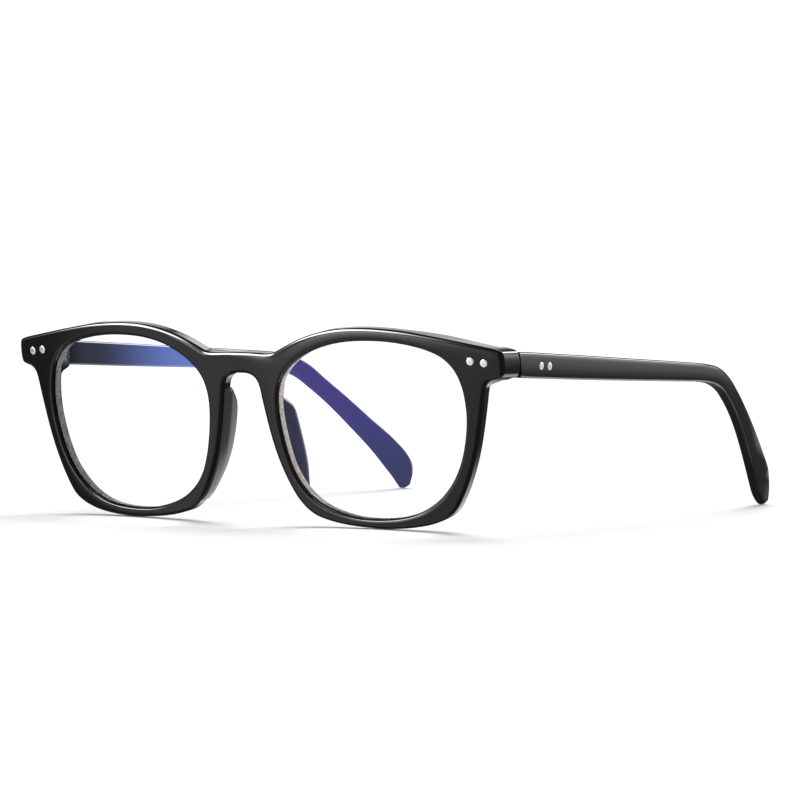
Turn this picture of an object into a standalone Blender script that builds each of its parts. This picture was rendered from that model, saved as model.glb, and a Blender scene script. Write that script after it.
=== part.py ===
"""Blue light glasses: acetate front with two lenses, bonded nose pads, riveted five-barrel
hinges and cored acetate temples.

World frame: +Z up, the wearer faces -Y, the temples run back along +Y and the wearer's left
is +X. The glasses stand open on the rims' lower edges and the temple tips, and the origin is
the middle of their footprint, on the surface they stand on. Dimensions are in millimetres and
become metres when a mesh is made. They are laid out from the middle of the bridge's top edge,
and LAYOUT_SHIFT then moves everything to the origin.
"""

import math

import bmesh
import bpy
import numpy as np
from mathutils import Matrix, Vector
from mathutils.geometry import delaunay_2d_cdt

MM = 0.001
SIDES = ((1, "left"), (-1, "right"))
LAYOUT_SHIFT = (0.0, -71.69, 39.9)   # from the layout's zero to the origin

# ---------------------------------------------------------------- front dimensions
TILT_DEG = 8.0             # pantoscopic tilt of the front, top edge forward
WRAP_RADIUS = 435.0        # radius of the front seen from above
TAN = math.tan(math.radians(TILT_DEG))
CURVE = 1.0 / WRAP_RADIUS
FRONT_THICK = 3.3          # acetate thickness of the rims and the bridge
EDGE_ROUND = 0.45          # chamfer of the front's outer edges
LENS_EDGE_ROUND = 0.30     # chamfer of the rims at the lens openings

# +X half of the front's outline, (x, z) from the bridge's top to the bridge's underside.
OUTLINE_TOP = [
    (0, 0), (4, 0), (8.0, -0.15), (9.8, 0.1), (11.2, 0.7), (14, 2.0), (17, 3.25), (20.5, 4.4),
    (24.5, 5.35), (29.5, 6.05), (35.2, 6.3), (40.3, 6.15), (46, 5.7), (52, 4.9), (58, 4.0),
    (64, 3.0), (69.6, 1.95)]
OUTLINE_END = [(70.5, 1.5), (70.9, 0.6), (70.9, -2.9), (70.5, -3.8), (69.6, -4.3)]
OUTLINE_LOW = [
    (68.0, -4.7), (66.9, -5.3), (66.15, -6.3), (65.65, -8.0), (65.15, -10.5), (64.1, -15.3),
    (62.95, -20.0), (61.35, -25.0), (59.55, -29.3), (57.75, -32.7), (55.95, -35.25),
    (53.25, -37.1), (49.5, -38.5), (45.2, -39.35), (41.0, -39.8), (36.5, -39.95),
    (31.7, -39.8), (26.5, -39.35), (22.0, -38.55), (18.4, -37.45), (15.75, -35.75),
    (13.55, -33.35), (11.75, -30.45), (10.15, -27.25), (8.85, -24.0), (7.85, -20.8),
    (6.95, -17.2), (6.25, -13.8), (5.65, -10.7), (5.2, -8.2), (4.75, -6.9), (4.0, -5.9),
    (2.85, -5.2), (1.5, -4.9), (0, -4.85)]
OUTLINE_STEP = 3.0         # spacing of the outline's points on a straight run
OUTLINE_TURN_DEG = 17      # turn that takes up one point of the outline
# +X lens opening, (x, z), clockwise seen from the front, from the middle of its top.
OPENING = [
    (36, 3.6), (42, 3.4), (47.5, 2.65), (52.1, 1.5), (55.7, -0.15), (58.5, -2.95),
    (60.1, -6.7), (60.7, -10.8), (60.65, -15.0), (59.8, -19.8), (58.45, -24.2),
    (56.5, -28.0), (54.2, -31.0), (50.9, -33.9), (47.1, -36.0), (42.0, -37.4),
    (36.0, -37.95), (30.0, -37.75), (24.6, -36.6), (20.1, -34.8), (16.35, -32.0),
    (13.55, -28.4), (11.75, -23.9), (10.55, -18.8), (9.95, -13.7), (10.15, -9.6),
    (11.4, -6.0), (14.25, -2.8), (18.2, -0.15), (23.5, 1.95), (29.5, 3.2)]
OPENING_STEP = 2.7

GROOVE_DEPTH = 0.85        # V groove that holds a lens
GROOVE_HALF = 1.05
GROOVE_AT = 1.85           # depth of the groove's middle behind the front face

END_FROM = 62.3            # |x| where the end piece's walls are level
END_RAMP = 4.4             # width of the slope between the rim's back and the end piece
END_LOW_Z = -6.9           # the end piece fades in upwards from here
END_FADE = 2.0             # over this height
SLOPE_SHORT = 2.0          # the back's slope ends this far before END_FROM
BROW_RAMP = 13.6           # how much wider that slope is along the brow
BROW_Z = 3.9               # the brow starts at this height where |x| is BROW_X
BROW_X = 36.0
BROW_FALL = 0.10           # how fast that height falls outwards
BROW_FADE = 1.9
SEAM_Y = 12.8              # butt plane of front and temple, at z = 0
BUTT_GAP = 0.05            # each side of the butt plane
POST_FROM = 61.5           # |x| where the back starts to rise from the seat to the butt plane
POST_RAMP = 2.0
SEAT_COVER = 0.3           # acetate left behind the hinge seat before it is cut

# Points inside the end pieces' faces: x, then heights.
END_POINTS = [(63.0, (1.6, -0.6, -3.0, -5.4, -7.6)), (65.2, (1.2, -0.9, -3.1)),
              (67.6, (0.8, -1.2, -3.2)), (69.2, (0.4, -1.4, -3.0))]

# ---------------------------------------------------------------- hinge dimensions
HINGE_X = 65.6             # hinge axis
HINGE_Z = -1.6
BARREL_R = 1.25
BARREL_STEPS = 14          # segments of a knuckle's arc
BORE_R = 0.60
PLATE = 0.8                # thickness of a hinge plate
LEAF_GAP = 0.05            # between a hinge plate and the floor it lies on
SEAT_Y = -2.2              # front hinge seat, from the hinge axis
POST_X = 67.2              # the butt post starts here
BARRELS = 5
BARREL_PITCH = 0.86        # height of one barrel plus its clearance
BARREL_CLEAR = 0.06
HINGE_HALF = BARRELS * BARREL_PITCH / 2

TURN_STEPS = 16            # segments of every turned part
RIVET_HEAD_R = 0.82
RIVET_SHANK_R = 0.50
RIVET_HEAD_L = 0.60        # depth of the head's underside
RIVET_CHAMFER = 0.1
RIVET_SINK = 0.04          # least depth of a head below the acetate's face
RIVET_CLEAR = 0.05

# ---------------------------------------------------------------- temple dimensions
TEMPLE_SLOPE = 0.0572      # how fast the outer face runs inward
TEMPLE_REF_Y = 13.1        # where the outer face's x is given
TEMPLE_OUTER_X = 71.05     # outer face at TEMPLE_REF_Y
TEMPLE_EDGE = 0.55         # rounding of the temple's long edges
BUTT_THICK = 3.8           # butt end: thickness, lower and upper edge
BUTT_LOW_Z, BUTT_TOP_Z = -4.38, 1.4
# Temple stations: lower edge (y, z), upper edge (y, z), thickness, inward bend of the outer face.
STATIONS = [
    ((16.5, -4.65), (16.0, 1.3), 3.8, 0.0),
    ((28.0, -5.2), (28.0, 0.62), 3.7, 0.0),
    ((40.0, -5.75), (40.0, -0.07), 3.6, 0.0),
    ((63.5, -6.7), (63.5, -1.47), 3.4, 0.0),
    ((86.0, -7.55), (86.5, -2.85), 3.2, 0.0),
    ((97.5, -8.05), (98.5, -3.7), 3.1, 0.0),
    ((102.5, -8.75), (104.9, -4.75), 3.0, 0.15),
    ((107.3, -10.4), (110.5, -7.25), 3.0, 0.55),
    ((111.7, -13.1), (115.5, -10.6), 2.9, 1.2),
    ((117.2, -17.1), (121.1, -14.45), 2.8, 2.3),
    ((123.9, -23.0), (128.8, -20.2), 2.7, 4.0),
    ((130.7, -29.6), (136.5, -26.1), 2.6, 6.0),
    ((135.0, -34.4), (141.6, -30.7), 2.5, 7.2),
    ((137.2, -36.9), (143.2, -33.4), 2.4, 7.8),
    ((138.9, -38.7), (143.4, -36.2), 2.3, 7.9),
    ((140.0, -39.7), (142.9, -38.4), 2.0, 7.9)]
STRAIGHT_COUNT = 5         # these first stations are joined straight, the rest by a curve
TIP_AHEAD = (0.55, -0.62)  # (y, z) direction of the tip
TIP_STATIONS = [(0.35, 0.75), (0.55, 0.45)]   # push along TIP_AHEAD, share of the size kept
CORE_START, CORE_END = 27.0, 96.0
CORE_W, CORE_H = 1.0, 1.8
CORE_CLEAR = 0.12
CORE_INSET = 1.75          # core's middle, in from the outer face

# ---------------------------------------------------------------- scene and materials
for old in list(bpy.data.objects):
    bpy.data.objects.remove(old, do_unlink=True)
collection = bpy.context.scene.collection


def material(name, colour, roughness, metallic=0.0, alpha=1.0, transmission=0.0):
    mat = bpy.data.materials.new(name)
    mat.use_nodes = True
    inputs = mat.node_tree.nodes["Principled BSDF"].inputs
    inputs["Base Color"].default_value = (*colour, 1.0)
    inputs["Roughness"].default_value = roughness
    inputs["Metallic"].default_value = metallic
    inputs["Alpha"].default_value = alpha
    inputs["Transmission Weight"].default_value = transmission
    return mat


ACETATE = material("black_acetate", colour=(0.012, 0.012, 0.013), roughness=0.16)
PAD_ACETATE = material("pad_acetate", colour=(0.016, 0.016, 0.017), roughness=0.22)
LENS = material("coated_lens", colour=(0.80, 0.84, 0.98), roughness=0.03, alpha=0.25,
                transmission=1.0)
NICKEL = material("nickel_silver", colour=(0.72, 0.71, 0.69), roughness=0.25, metallic=1.0)
POLISHED = material("polished_rivet", colour=(0.86, 0.86, 0.86), roughness=0.15, metallic=1.0)
STEEL = material("screw_steel", colour=(0.60, 0.60, 0.60), roughness=0.22, metallic=1.0)
CORE = material("core_wire", colour=(0.68, 0.67, 0.64), roughness=0.35, metallic=1.0)


# ---------------------------------------------------------------- curves and loops
def spline(points, per_segment, closed=False):
    """Centripetal Catmull-Rom curve through the points, per_segment steps between two of them."""
    points = [np.array(p, float) for p in points]
    count = len(points)
    if not closed:
        # one more point past each end, mirrored through it
        before = 2 * points[0] - points[1]
        after = 2 * points[-1] - points[-2]
        padded = [before] + points + [after]
    else:
        padded = [points[-1]] + points + points[:2]

    def blend(first, second, start, end, at):
        return (end - at) / (end - start) * first + (at - start) / (end - start) * second

    curve = []
    for i in range(count if closed else count - 1):
        window = padded[i:i + 4]
        gaps = [math.sqrt(np.linalg.norm(window[k + 1] - window[k])) for k in range(3)]
        knots = np.cumsum([0.0] + gaps)
        for step in range(per_segment):
            at = knots[1] + (knots[2] - knots[1]) * step / per_segment
            lines = [blend(window[k], window[k + 1], knots[k], knots[k + 1], at)
                     for k in range(3)]
            arcs = [blend(lines[k], lines[k + 1], knots[k], knots[k + 2], at) for k in range(2)]
            curve.append(blend(arcs[0], arcs[1], knots[1], knots[2], at))
    if not closed:
        curve.append(points[-1])
    return np.array(curve)


def travelled(line):
    """Length along a polyline at each of its points."""
    steps = np.linalg.norm(np.diff(line, axis=0), axis=1)
    return np.concatenate([[0], np.cumsum(steps)])


def sample(line, marks, at):
    """Points of a polyline at the values at, where marks holds the value at each of its points."""
    return np.stack([np.interp(at, marks, line[:, i]) for i in range(2)], axis=1)


def resample(loop, step):
    """Closed loop with its points spread evenly, about step apart."""
    line = np.vstack([loop, loop[:1]])
    length = travelled(line)
    count = int(round(length[-1] / step))
    return sample(line, length, np.linspace(0, length[-1], count, endpoint=False))


def left_normals(steps):
    return np.stack([-steps[:, 1], steps[:, 0]], 1) / np.linalg.norm(steps, axis=1)[:, None]


def offset(loop, distance):
    """Moves each point of a closed loop to its left, along the mean of its sides' normals."""
    before = left_normals(loop - np.roll(loop, 1, axis=0))
    after = left_normals(np.roll(loop, -1, axis=0) - loop)
    mean = before + after
    mean /= np.linalg.norm(mean, axis=1)[:, None]
    stretch = 1.0 / np.maximum(0.6, (mean * before).sum(1))   # the floor limits sharp corners
    return loop + mean * (distance * stretch)[:, None]


def smoothstep(value):
    value = min(1.0, max(0.0, value))
    return value * value * (3 - 2 * value)


# ---------------------------------------------------------------- mesh and object helpers
class Shell:
    """Points, in world millimetres, and faces of a mesh that is built ring by ring."""

    def __init__(self):
        self.points = []
        self.faces = []

    def ring(self, points):
        """Adds points and returns their indices."""
        start = len(self.points)
        self.points.extend(points)
        return list(range(start, len(self.points)))

    def front_ring(self, flat, depth):
        """Ring of (x, z) points at one depth, or one depth for each, behind the front face."""
        depths = np.broadcast_to(depth, len(flat))
        return self.ring([on_front(x, z, d) for (x, z), d in zip(flat, depths)])

    def bridge(self, rings):
        for first, second in zip(rings, rings[1:]):
            for i in range(len(first)):
                j = (i + 1) % len(first)
                self.faces.append((first[i], first[j], second[j], second[i]))

    def close(self, rings):
        """Bridges the rings and caps both ends."""
        self.bridge(rings)
        self.faces.append(tuple(rings[0]))
        self.faces.append(tuple(rings[-1][::-1]))

    def build(self, name, mat, parent=None, smooth_deg=None):
        """Makes the object. Under a parent, its mesh is in the parent's frame."""
        mesh = bpy.data.meshes.new(name)
        obj = link(name, mesh, mat, parent)
        inverse = parent.matrix_world.inverted() if parent else Matrix.Identity(4)
        points = [inverse @ Vector([c * MM for c in p]) for p in self.points]
        mesh.from_pydata(points, [], self.faces)
        mesh.validate()
        bm = bmesh.new()
        bm.from_mesh(mesh)
        bmesh.ops.recalc_face_normals(bm, faces=bm.faces)
        bm.to_mesh(mesh)
        bm.free()
        if smooth_deg:
            shade(mesh, smooth_deg)
        return obj


def link(name, mesh, mat, parent):
    obj = bpy.data.objects.new(name, mesh)
    collection.objects.link(obj)
    if parent:
        obj.parent = parent
    if mat:
        mesh.materials.append(mat)
    return obj


def shade(mesh, sharp_deg):
    mesh.shade_smooth()
    mesh.set_sharp_from_angle(angle=math.radians(sharp_deg))


def finish_bmesh(name, bm, matrix, mat, parent):
    """Object from a bmesh in the frame matrix, which becomes the object's own."""
    bmesh.ops.recalc_face_normals(bm, faces=bm.faces)
    mesh = bpy.data.meshes.new(name)
    bm.to_mesh(mesh)
    bm.free()
    obj = link(name, mesh, mat, parent)
    if parent:
        obj.matrix_local = parent.matrix_world.inverted() @ matrix
    else:
        obj.matrix_world = matrix
    return obj


def box(name, side, corners, matrix, mat=None, parent=None):
    """Box between two corners of a frame, given for the left side and mirrored in x for the right."""
    (x1, *low), (x2, *high) = corners
    low = [min(side * x1, side * x2)] + low
    high = [max(side * x1, side * x2)] + high
    bm = bmesh.new()
    bmesh.ops.create_cube(bm, size=1.0)
    for vert in bm.verts:
        vert.co = Vector([(low[i] + high[i]) / 2 + vert.co[i] * (high[i] - low[i])
                          for i in range(3)]) * MM
    return finish_bmesh(name, bm, matrix, mat, parent)


def turned(name, profile, matrix, mat=None, parent=None):
    """Solid of revolution about the frame's z from (radius, z) points, the ends on the axis."""
    bm = bmesh.new()
    verts = [bm.verts.new((r * MM, 0, z * MM)) for r, z in profile]
    edges = [bm.edges.new(pair) for pair in zip(verts, verts[1:])]
    bmesh.ops.spin(bm, geom=verts + edges, cent=(0, 0, 0), axis=(0, 0, 1), angle=math.tau,
                   steps=TURN_STEPS, use_merge=True)
    bmesh.ops.remove_doubles(bm, verts=bm.verts, dist=1e-7)
    obj = finish_bmesh(name, bm, matrix, mat, parent)
    shade(obj.data, 35)
    return obj


def shift(at):
    """Translation by a vector in millimetres."""
    return Matrix.Translation(Vector(at) * MM)


def helper(obj):
    obj.hide_render = True
    obj.display_type = "WIRE"
    return obj


def boolean(obj, other, name, operation):
    modifier = obj.modifiers.new(name, "BOOLEAN")
    modifier.operation = operation
    modifier.solver = "EXACT"
    modifier.object = other


def cut(obj, cutter, name):
    boolean(obj, cutter, name, "DIFFERENCE")


def unite(obj, other, name):
    boolean(obj, other, name, "UNION")


# ---------------------------------------------------------------- the front's surface
def bow(x):
    """How far the wrapped front face has run back at x."""
    return 0.5 * CURVE * x * x


def end_height(z):
    """1 at the height of the end pieces, 0 down the rims."""
    return smoothstep((z - END_LOW_Z) / END_FADE)


def ramp(x, z):
    """Width of the slope to the end piece: short beside the lens, long along the brow."""
    above = z + BROW_FALL * (abs(x) - BROW_X) - BROW_Z
    return END_RAMP + BROW_RAMP * smoothstep(above / BROW_FADE)


def end_blend(x, z):
    """0 on the rims, 1 on an end piece, where the walls turn level and parallel to y."""
    return smoothstep((abs(x) - (END_FROM - ramp(x, z))) / ramp(x, z)) * end_height(z)


def on_front(x, z, depth):
    """Point at depth behind the front face, measured along the acetate's wall."""
    blend = end_blend(x, z)
    return (x - CURVE * x * (1 - blend) * depth,
            bow(x) - z * TAN + depth,
            z + TAN * (1 - blend) * depth)


def back_depth(x, z):
    """Depth of the back face: the rim, a slope up to just over the hinge seat, then the post."""
    seam = SEAM_Y - BUTT_GAP - bow(x)
    seat = seam + BUTT_GAP + SEAT_Y + SEAT_COVER
    width = ramp(x, z)
    slope = smoothstep((abs(x) - (END_FROM - width)) / (width - SLOPE_SHORT)) * end_height(z)
    post = smoothstep((abs(x) - POST_FROM) / POST_RAMP) * end_height(z)
    return (FRONT_THICK * (1 - slope) + seat * slope) * (1 - post) + seam * post


def opening_loop(side):
    """Lens opening, clockwise seen from the front (+X to the right) on both sides."""
    loop = resample(spline(OPENING, 8, closed=True), OPENING_STEP) * (side, 1)
    return loop if side > 0 else loop[::-1]


def outline_loop():
    """Whole outline, clockwise seen from the front (+X to the right)."""
    half = OUTLINE_TOP + OUTLINE_END + OUTLINE_LOW
    # mirrored neighbours make the curve run smoothly across the middle
    above = [(-x, z) for x, z in half[3:0:-1]]
    below = [(-x, z) for x, z in half[-2:-5:-1]]
    curve = spline(above + half + below, 6)
    kept = np.flatnonzero(curve[:, 0] >= -1e-9)
    right = curve[kept[0]:kept[-1] + 1]
    right[0, 0] = right[-1, 0] = 0.0
    # keep the tight corners of the end piece finer than the long sweeps
    length = travelled(right)
    steps = np.diff(right, axis=0)
    heading = np.unwrap(np.arctan2(steps[:, 1], steps[:, 0]))
    turn = np.zeros(len(right))
    turn[1:-1] = np.abs(np.diff(heading))
    turn_share = 0.5 * (turn[1:] + turn[:-1]) / math.radians(OUTLINE_TURN_DEG)
    weight = np.concatenate([[0], np.cumsum(np.diff(length) / OUTLINE_STEP + turn_share)])
    count = int(round(weight[-1]))
    right = sample(right, weight, np.linspace(0, weight[-1], count + 1))
    left = right[1:-1][::-1] * (-1, 1)
    return np.vstack([right, left])


OUTLINE = outline_loop()


# ---------------------------------------------------------------- front
def is_inside(loop, x, z):
    hit = False
    for i in range(len(loop)):
        (x1, z1), (x2, z2) = loop[i - 1], loop[i]
        if (z1 > z) != (z2 > z) and x < x1 + (z - z1) / (z2 - z1) * (x2 - x1):
            hit = not hit
    return hit


def face_triangles(outer, holes, extra):
    """Triangles inside outer and outside the holes, as indices of all points in order."""
    points, edges = [], []
    for loop in [outer] + holes:
        base = len(points)
        points += [Vector(p) for p in loop]
        edges += [(base + i, base + (i + 1) % len(loop)) for i in range(len(loop))]
    points += [Vector(p) for p in extra]
    verts, _, triangles, sources, _, _ = delaunay_2d_cdt(points, edges, [], 0, 1e-6)
    kept = []
    for triangle in triangles:
        x, z = sum((verts[i] for i in triangle), Vector((0, 0))) / 3
        if is_inside(outer, x, z) and not any(is_inside(hole, x, z) for hole in holes):
            kept.append(tuple(sources[i][0] for i in triangle))
    return kept


def build_front():
    shell = Shell()
    # Both kinds of loop run clockwise: a positive offset is outwards, a negative one inwards.
    inset = offset(OUTLINE, -EDGE_ROUND)
    back = np.array([back_depth(x, z) for x, z in OUTLINE])
    walls = [[(inset, 0.0), (OUTLINE, EDGE_ROUND), (OUTLINE, back - EDGE_ROUND), (inset, back)]]
    for side, _ in SIDES:
        hole = opening_loop(side)
        widened = offset(hole, LENS_EDGE_ROUND)
        back = np.array([back_depth(x, z) for x, z in hole])
        walls.append([(widened, 0.0), (hole, LENS_EDGE_ROUND), (hole, GROOVE_AT - GROOVE_HALF),
                      (offset(hole, GROOVE_DEPTH), GROOVE_AT), (hole, GROOVE_AT + GROOVE_HALF),
                      (hole, back - LENS_EDGE_ROUND), (widened, back)])

    borders, front_index, back_index = [], [], []
    for wall in walls:
        rings = [shell.front_ring(flat, depth) for flat, depth in wall]
        shell.bridge(rings)
        borders.append(wall[0][0])
        front_index += rings[0]
        back_index += rings[-1]

    # Points inside the faces, so the slope behind the end pieces is smooth.
    extra = [(side * x, z) for side, _ in SIDES for x, heights in END_POINTS for z in heights]
    triangles = face_triangles(borders[0], borders[1:], extra)
    extra_back = [back_depth(x, z) for x, z in extra]
    for index, depth in ((front_index, 0.0), (back_index, extra_back)):
        index += shell.front_ring(extra, depth)
        shell.faces += [tuple(index[i] for i in triangle) for triangle in triangles]
    return shell.build("front_frame", ACETATE, smooth_deg=28)


# ---------------------------------------------------------------- lenses
LENS_HALF = 0.9            # half of a lens' thickness at its edge
LENS_BULGE = 0.75          # how far a lens' middle stands forward of its edge
LENS_GAP = 0.15            # between the lens' edge and the opening
LENS_TIP_GAP = 0.18        # between the V edge's tip and the groove's bottom
LENS_RINGS = [0.35, 0.7]   # shares of the way from the middle to the edge


def build_lens(side, word):
    """Lens with a V edge that sits in the groove, and a shallow forward bulge."""
    hole = opening_loop(side)
    centre = hole.mean(axis=0)
    edge = offset(hole, -LENS_GAP)
    tip = offset(hole, GROOVE_DEPTH - LENS_TIP_GAP)
    front_depth, rear_depth = GROOVE_AT - LENS_HALF, GROOVE_AT + LENS_HALF

    def domed(share, depth):
        return centre + (edge - centre) * share, depth - LENS_BULGE * (1 - share * share)

    rows = [domed(share, front_depth) for share in LENS_RINGS]
    rows += [(edge, front_depth), (tip, GROOVE_AT), (edge, rear_depth)]
    rows += [domed(share, rear_depth) for share in LENS_RINGS[::-1]]
    shell = Shell()
    rings = [shell.front_ring(flat, depth) for flat, depth in rows]
    shell.bridge(rings)
    for ring, depth in ((rings[0], front_depth), (rings[-1], rear_depth)):
        middle, = shell.front_ring([centre], depth - LENS_BULGE)
        for i in range(len(ring)):
            shell.faces.append((ring[i], ring[(i + 1) % len(ring)], middle))
    shell.build(f"lens_{word}", LENS, smooth_deg=25)


# ---------------------------------------------------------------- nose pads
# Height, and the pad's swell at that height.
PAD_ROWS = [
    (-8.8, 0.0), (-10.0, 0.25), (-11.3, 0.56), (-12.6, 0.82), (-14.2, 0.96), (-16.0, 1.0),
    (-18.0, 1.0), (-21.0, 0.97), (-24.0, 0.9), (-26.2, 0.8), (-28.2, 0.66), (-30.2, 0.46),
    (-32.2, 0.26), (-34.0, 0.12), (-35.2, 0.04)]
PAD_MIN_REACH = 0.35       # how far the pad stands behind the rim without swell
PAD_REACH = 4.95           # what full swell adds to that
PAD_LEAN = 1.85            # outward lean of the ridge at full swell
PAD_MIN_WIDTH = 1.7        # width without swell
PAD_WIDTH = 0.55           # what full swell adds to that
PAD_FLANGE = 0.35          # the pad also wraps the rim's nasal wall, this thick
PAD_FRONT = 0.9            # depth behind the front face where the flange starts
PAD_FRONT_SLANT = 0.25     # the flange's nasal face starts this much deeper
PAD_BACK_SHORT = 0.2       # and ends this far before the rim's back
PAD_GAP = 0.12
# Ridge, from the nasal side outwards: x from the flange's face as a fixed part, a share of
# the width and a share of the lean, then the share of the reach.
PAD_RIDGE = [
    (0.05, 0, 0.3, 0.40), (0.15, 0, 0.65, 0.78), (0.35, 0, 0.95, 0.95), (0, 0.45, 1, 1),
    (0, 0.8, 0.95, 0.93), (0, 1.05, 0.7, 0.72), (0, 1.2, 0.3, 0.36), (0, 1.25, 0, 0)]


def nasal_x(z):
    """x of the front's outline beside the nose at height z."""
    x_all, z_all = OUTLINE[:, 0], OUTLINE[:, 1]
    low = OUTLINE[(x_all > 3.0) & (x_all < 21.0) & (z_all < -5.0)]
    order = np.argsort(low[:, 1])
    return float(np.interp(z, low[order, 1], low[order, 0]))


def build_pad(side, word):
    """Saddle pad on the rim's nasal wall and back: a crescent ridge that leans outwards."""
    shell = Shell()
    rings = []
    back = FRONT_THICK + PAD_GAP
    for z, swell in PAD_ROWS:
        wall = nasal_x(z) - PAD_GAP
        skin = wall - PAD_FLANGE
        reach = PAD_MIN_REACH + PAD_REACH * swell
        lean = PAD_LEAN * swell
        width = PAD_MIN_WIDTH + PAD_WIDTH * swell
        section = [(wall, PAD_FRONT), (skin, PAD_FRONT + PAD_FRONT_SLANT),
                   (skin, back - PAD_BACK_SHORT)]
        section += [(skin + fixed + of_width * width + of_lean * lean, back + of_reach * reach)
                    for fixed, of_width, of_lean, of_reach in PAD_RIDGE]
        section.append((wall, back))
        rings.append(shell.ring([on_front(side * x, z, depth) for x, depth in section]))
    shell.close(rings)
    shell.build(f"nose_pad_{word}", PAD_ACETATE, smooth_deg=40)


# ---------------------------------------------------------------- temples
def outer_x(y, bend=0.0):
    return TEMPLE_OUTER_X - TEMPLE_SLOPE * (y - TEMPLE_REF_Y) - bend


def butt_edge(z):
    """(y, z) of the temple's butt end at height z."""
    return (SEAM_Y + BUTT_GAP - z * TAN, z)


# The butt end and the stations that are joined straight.
STRAIGHT = [(butt_edge(BUTT_LOW_Z), butt_edge(BUTT_TOP_Z), BUTT_THICK, 0.0)]
STRAIGHT += STATIONS[:STRAIGHT_COUNT]


def temple_stations():
    """The straight stations, a smooth curve through the others, and the rounded tip."""
    flat = [(*low, *high, thick, bend) for low, high, thick, bend in STATIONS]
    stations = list(STRAIGHT)
    for low_y, low_z, high_y, high_z, thick, bend in spline(flat[STRAIGHT_COUNT:], 2):
        stations.append(((low_y, low_z), (high_y, high_z), thick, max(0.0, bend)))
    # the end is rounded over by two shrinking stations
    low, high, thick, bend = STATIONS[-1]
    middle = ((low[0] + high[0]) / 2, (low[1] + high[1]) / 2)
    for push, keep in TIP_STATIONS:
        edges = [tuple(mid + (c - mid) * keep + ahead * push
                       for c, mid, ahead in zip(edge, middle, TIP_AHEAD)) for edge in (low, high)]
        stations.append((*edges, thick * (0.5 + 0.5 * keep), bend + thick * 0.25 * (1 - keep)))
    return stations


def temple_section(side, low, high, thick, bend):
    """Rounded rectangle between the lower and the upper edge."""
    height = math.dist(low, high)
    edge = min(TEMPLE_EDGE, 0.3 * height, 0.3 * thick)
    # each corner has three points: its two ends and one between, at 0.29 of the inset
    across, up = edge / thick, edge / height
    across_mid, up_mid = across * 0.29, up * 0.29
    # (0..1 from the outer to the inner face, 0..1 from the lower to the upper edge)
    shares = [(0, up), (across_mid, up_mid), (across, 0),
              (1 - across, 0), (1 - across_mid, up_mid), (1, up),
              (1, 1 - up), (1 - across_mid, 1 - up_mid), (1 - across, 1),
              (across, 1), (across_mid, 1 - up_mid), (0, 1 - up)]
    points = []
    for inward, upward in shares:
        y = low[0] + (high[0] - low[0]) * upward
        z = low[1] + (high[1] - low[1]) * upward
        points.append((side * (outer_x(y, bend) - thick * inward), y, z))
    return points


def build_temple(side, word, pivot):
    shell = Shell()
    shell.close([shell.ring(temple_section(side, *station)) for station in temple_stations()])
    return shell.build(f"temple_{word}", ACETATE, pivot, smooth_deg=35)


def temple_mid_z(y):
    """Middle of the temple's height at y, along its straight part."""
    low_z, high_z = (np.interp(y, [s[edge][0] for s in STRAIGHT], [s[edge][1] for s in STRAIGHT])
                     for edge in (0, 1))
    return float(high_z + low_z) / 2


def core_bar(name, side, start, end, pivot, grow_x=0.0, grow_z=0.0, mat=None):
    """Bar on the core's line, its half width and half height grown by grow_x and grow_z."""
    half_w, half_h = CORE_W / 2 + grow_x, CORE_H / 2 + grow_z
    shell = Shell()
    rings = []
    for y in (start, end):
        x, z = outer_x(y) - CORE_INSET, temple_mid_z(y)
        rings.append(shell.ring([(side * (x + across * half_w), y, z + up * half_h)
                                 for across, up in ((-1, -1), (1, -1), (1, 1), (-1, 1))]))
    shell.close(rings)
    return shell.build(name, mat, pivot)


# ---------------------------------------------------------------- rivets
FRONT_RIVETS = [("outer", 66.15, -1.1), ("inner", 62.75, -0.75)]   # name, |x|, z
FRONT_RIVET_PROUD = 0.15   # shank's end behind the hinge plate
FRONT_HOLE_END = 12
TEMPLE_RIVETS = [("front", 9.0), ("rear", 12.6)]   # name, distance behind TEMPLE_REF_Y
TEMPLE_RIVET_L = 2.9


def rivet(name, matrix, sink, length, parent=None):
    """Rivet whose head starts at depth sink and whose shank ends at depth length."""
    turned(name, [(0, sink), (RIVET_HEAD_R - RIVET_CHAMFER, sink),
                  (RIVET_HEAD_R, sink + RIVET_CHAMFER), (RIVET_HEAD_R, RIVET_HEAD_L),
                  (RIVET_SHANK_R, RIVET_HEAD_L), (RIVET_SHANK_R, length), (0, length)],
           matrix, POLISHED, parent)


def rivet_hole(name, matrix, length, parent=None):
    """Stepped cutter that starts 2 mm outside the face."""
    head_r, shank_r = RIVET_HEAD_R + RIVET_CLEAR, RIVET_SHANK_R + RIVET_CLEAR
    shoulder = RIVET_HEAD_L + RIVET_CLEAR
    profile = [(0, -2), (head_r, -2), (head_r, shoulder), (shank_r, shoulder),
               (shank_r, length), (0, length)]
    return helper(turned(name, profile, matrix, None, parent))


def build_front_rivets(side, word):
    """Rivets through the end piece, square to the tilt. Returns their hole cutters."""
    holes = []
    for which, x, z in FRONT_RIVETS:
        place = (shift(on_front(side * x, z, 0.0))
                 @ Matrix.Rotation(math.radians(TILT_DEG - 90), 4, "X"))
        # the wrap of the front face runs back across the head
        sink = RIVET_SINK + CURVE * x * RIVET_HEAD_R
        length = SEAM_Y + SEAT_Y - bow(x) + PLATE + FRONT_RIVET_PROUD
        rivet(f"front_rivet_{which}_{word}", place, sink, length)
        hole = rivet_hole(f"front_rivet_hole_{which}_{word}", place, FRONT_HOLE_END)
        cut(front, hole, f"rivet_{which}_{word}")
        holes.append(hole)
    return holes


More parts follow.
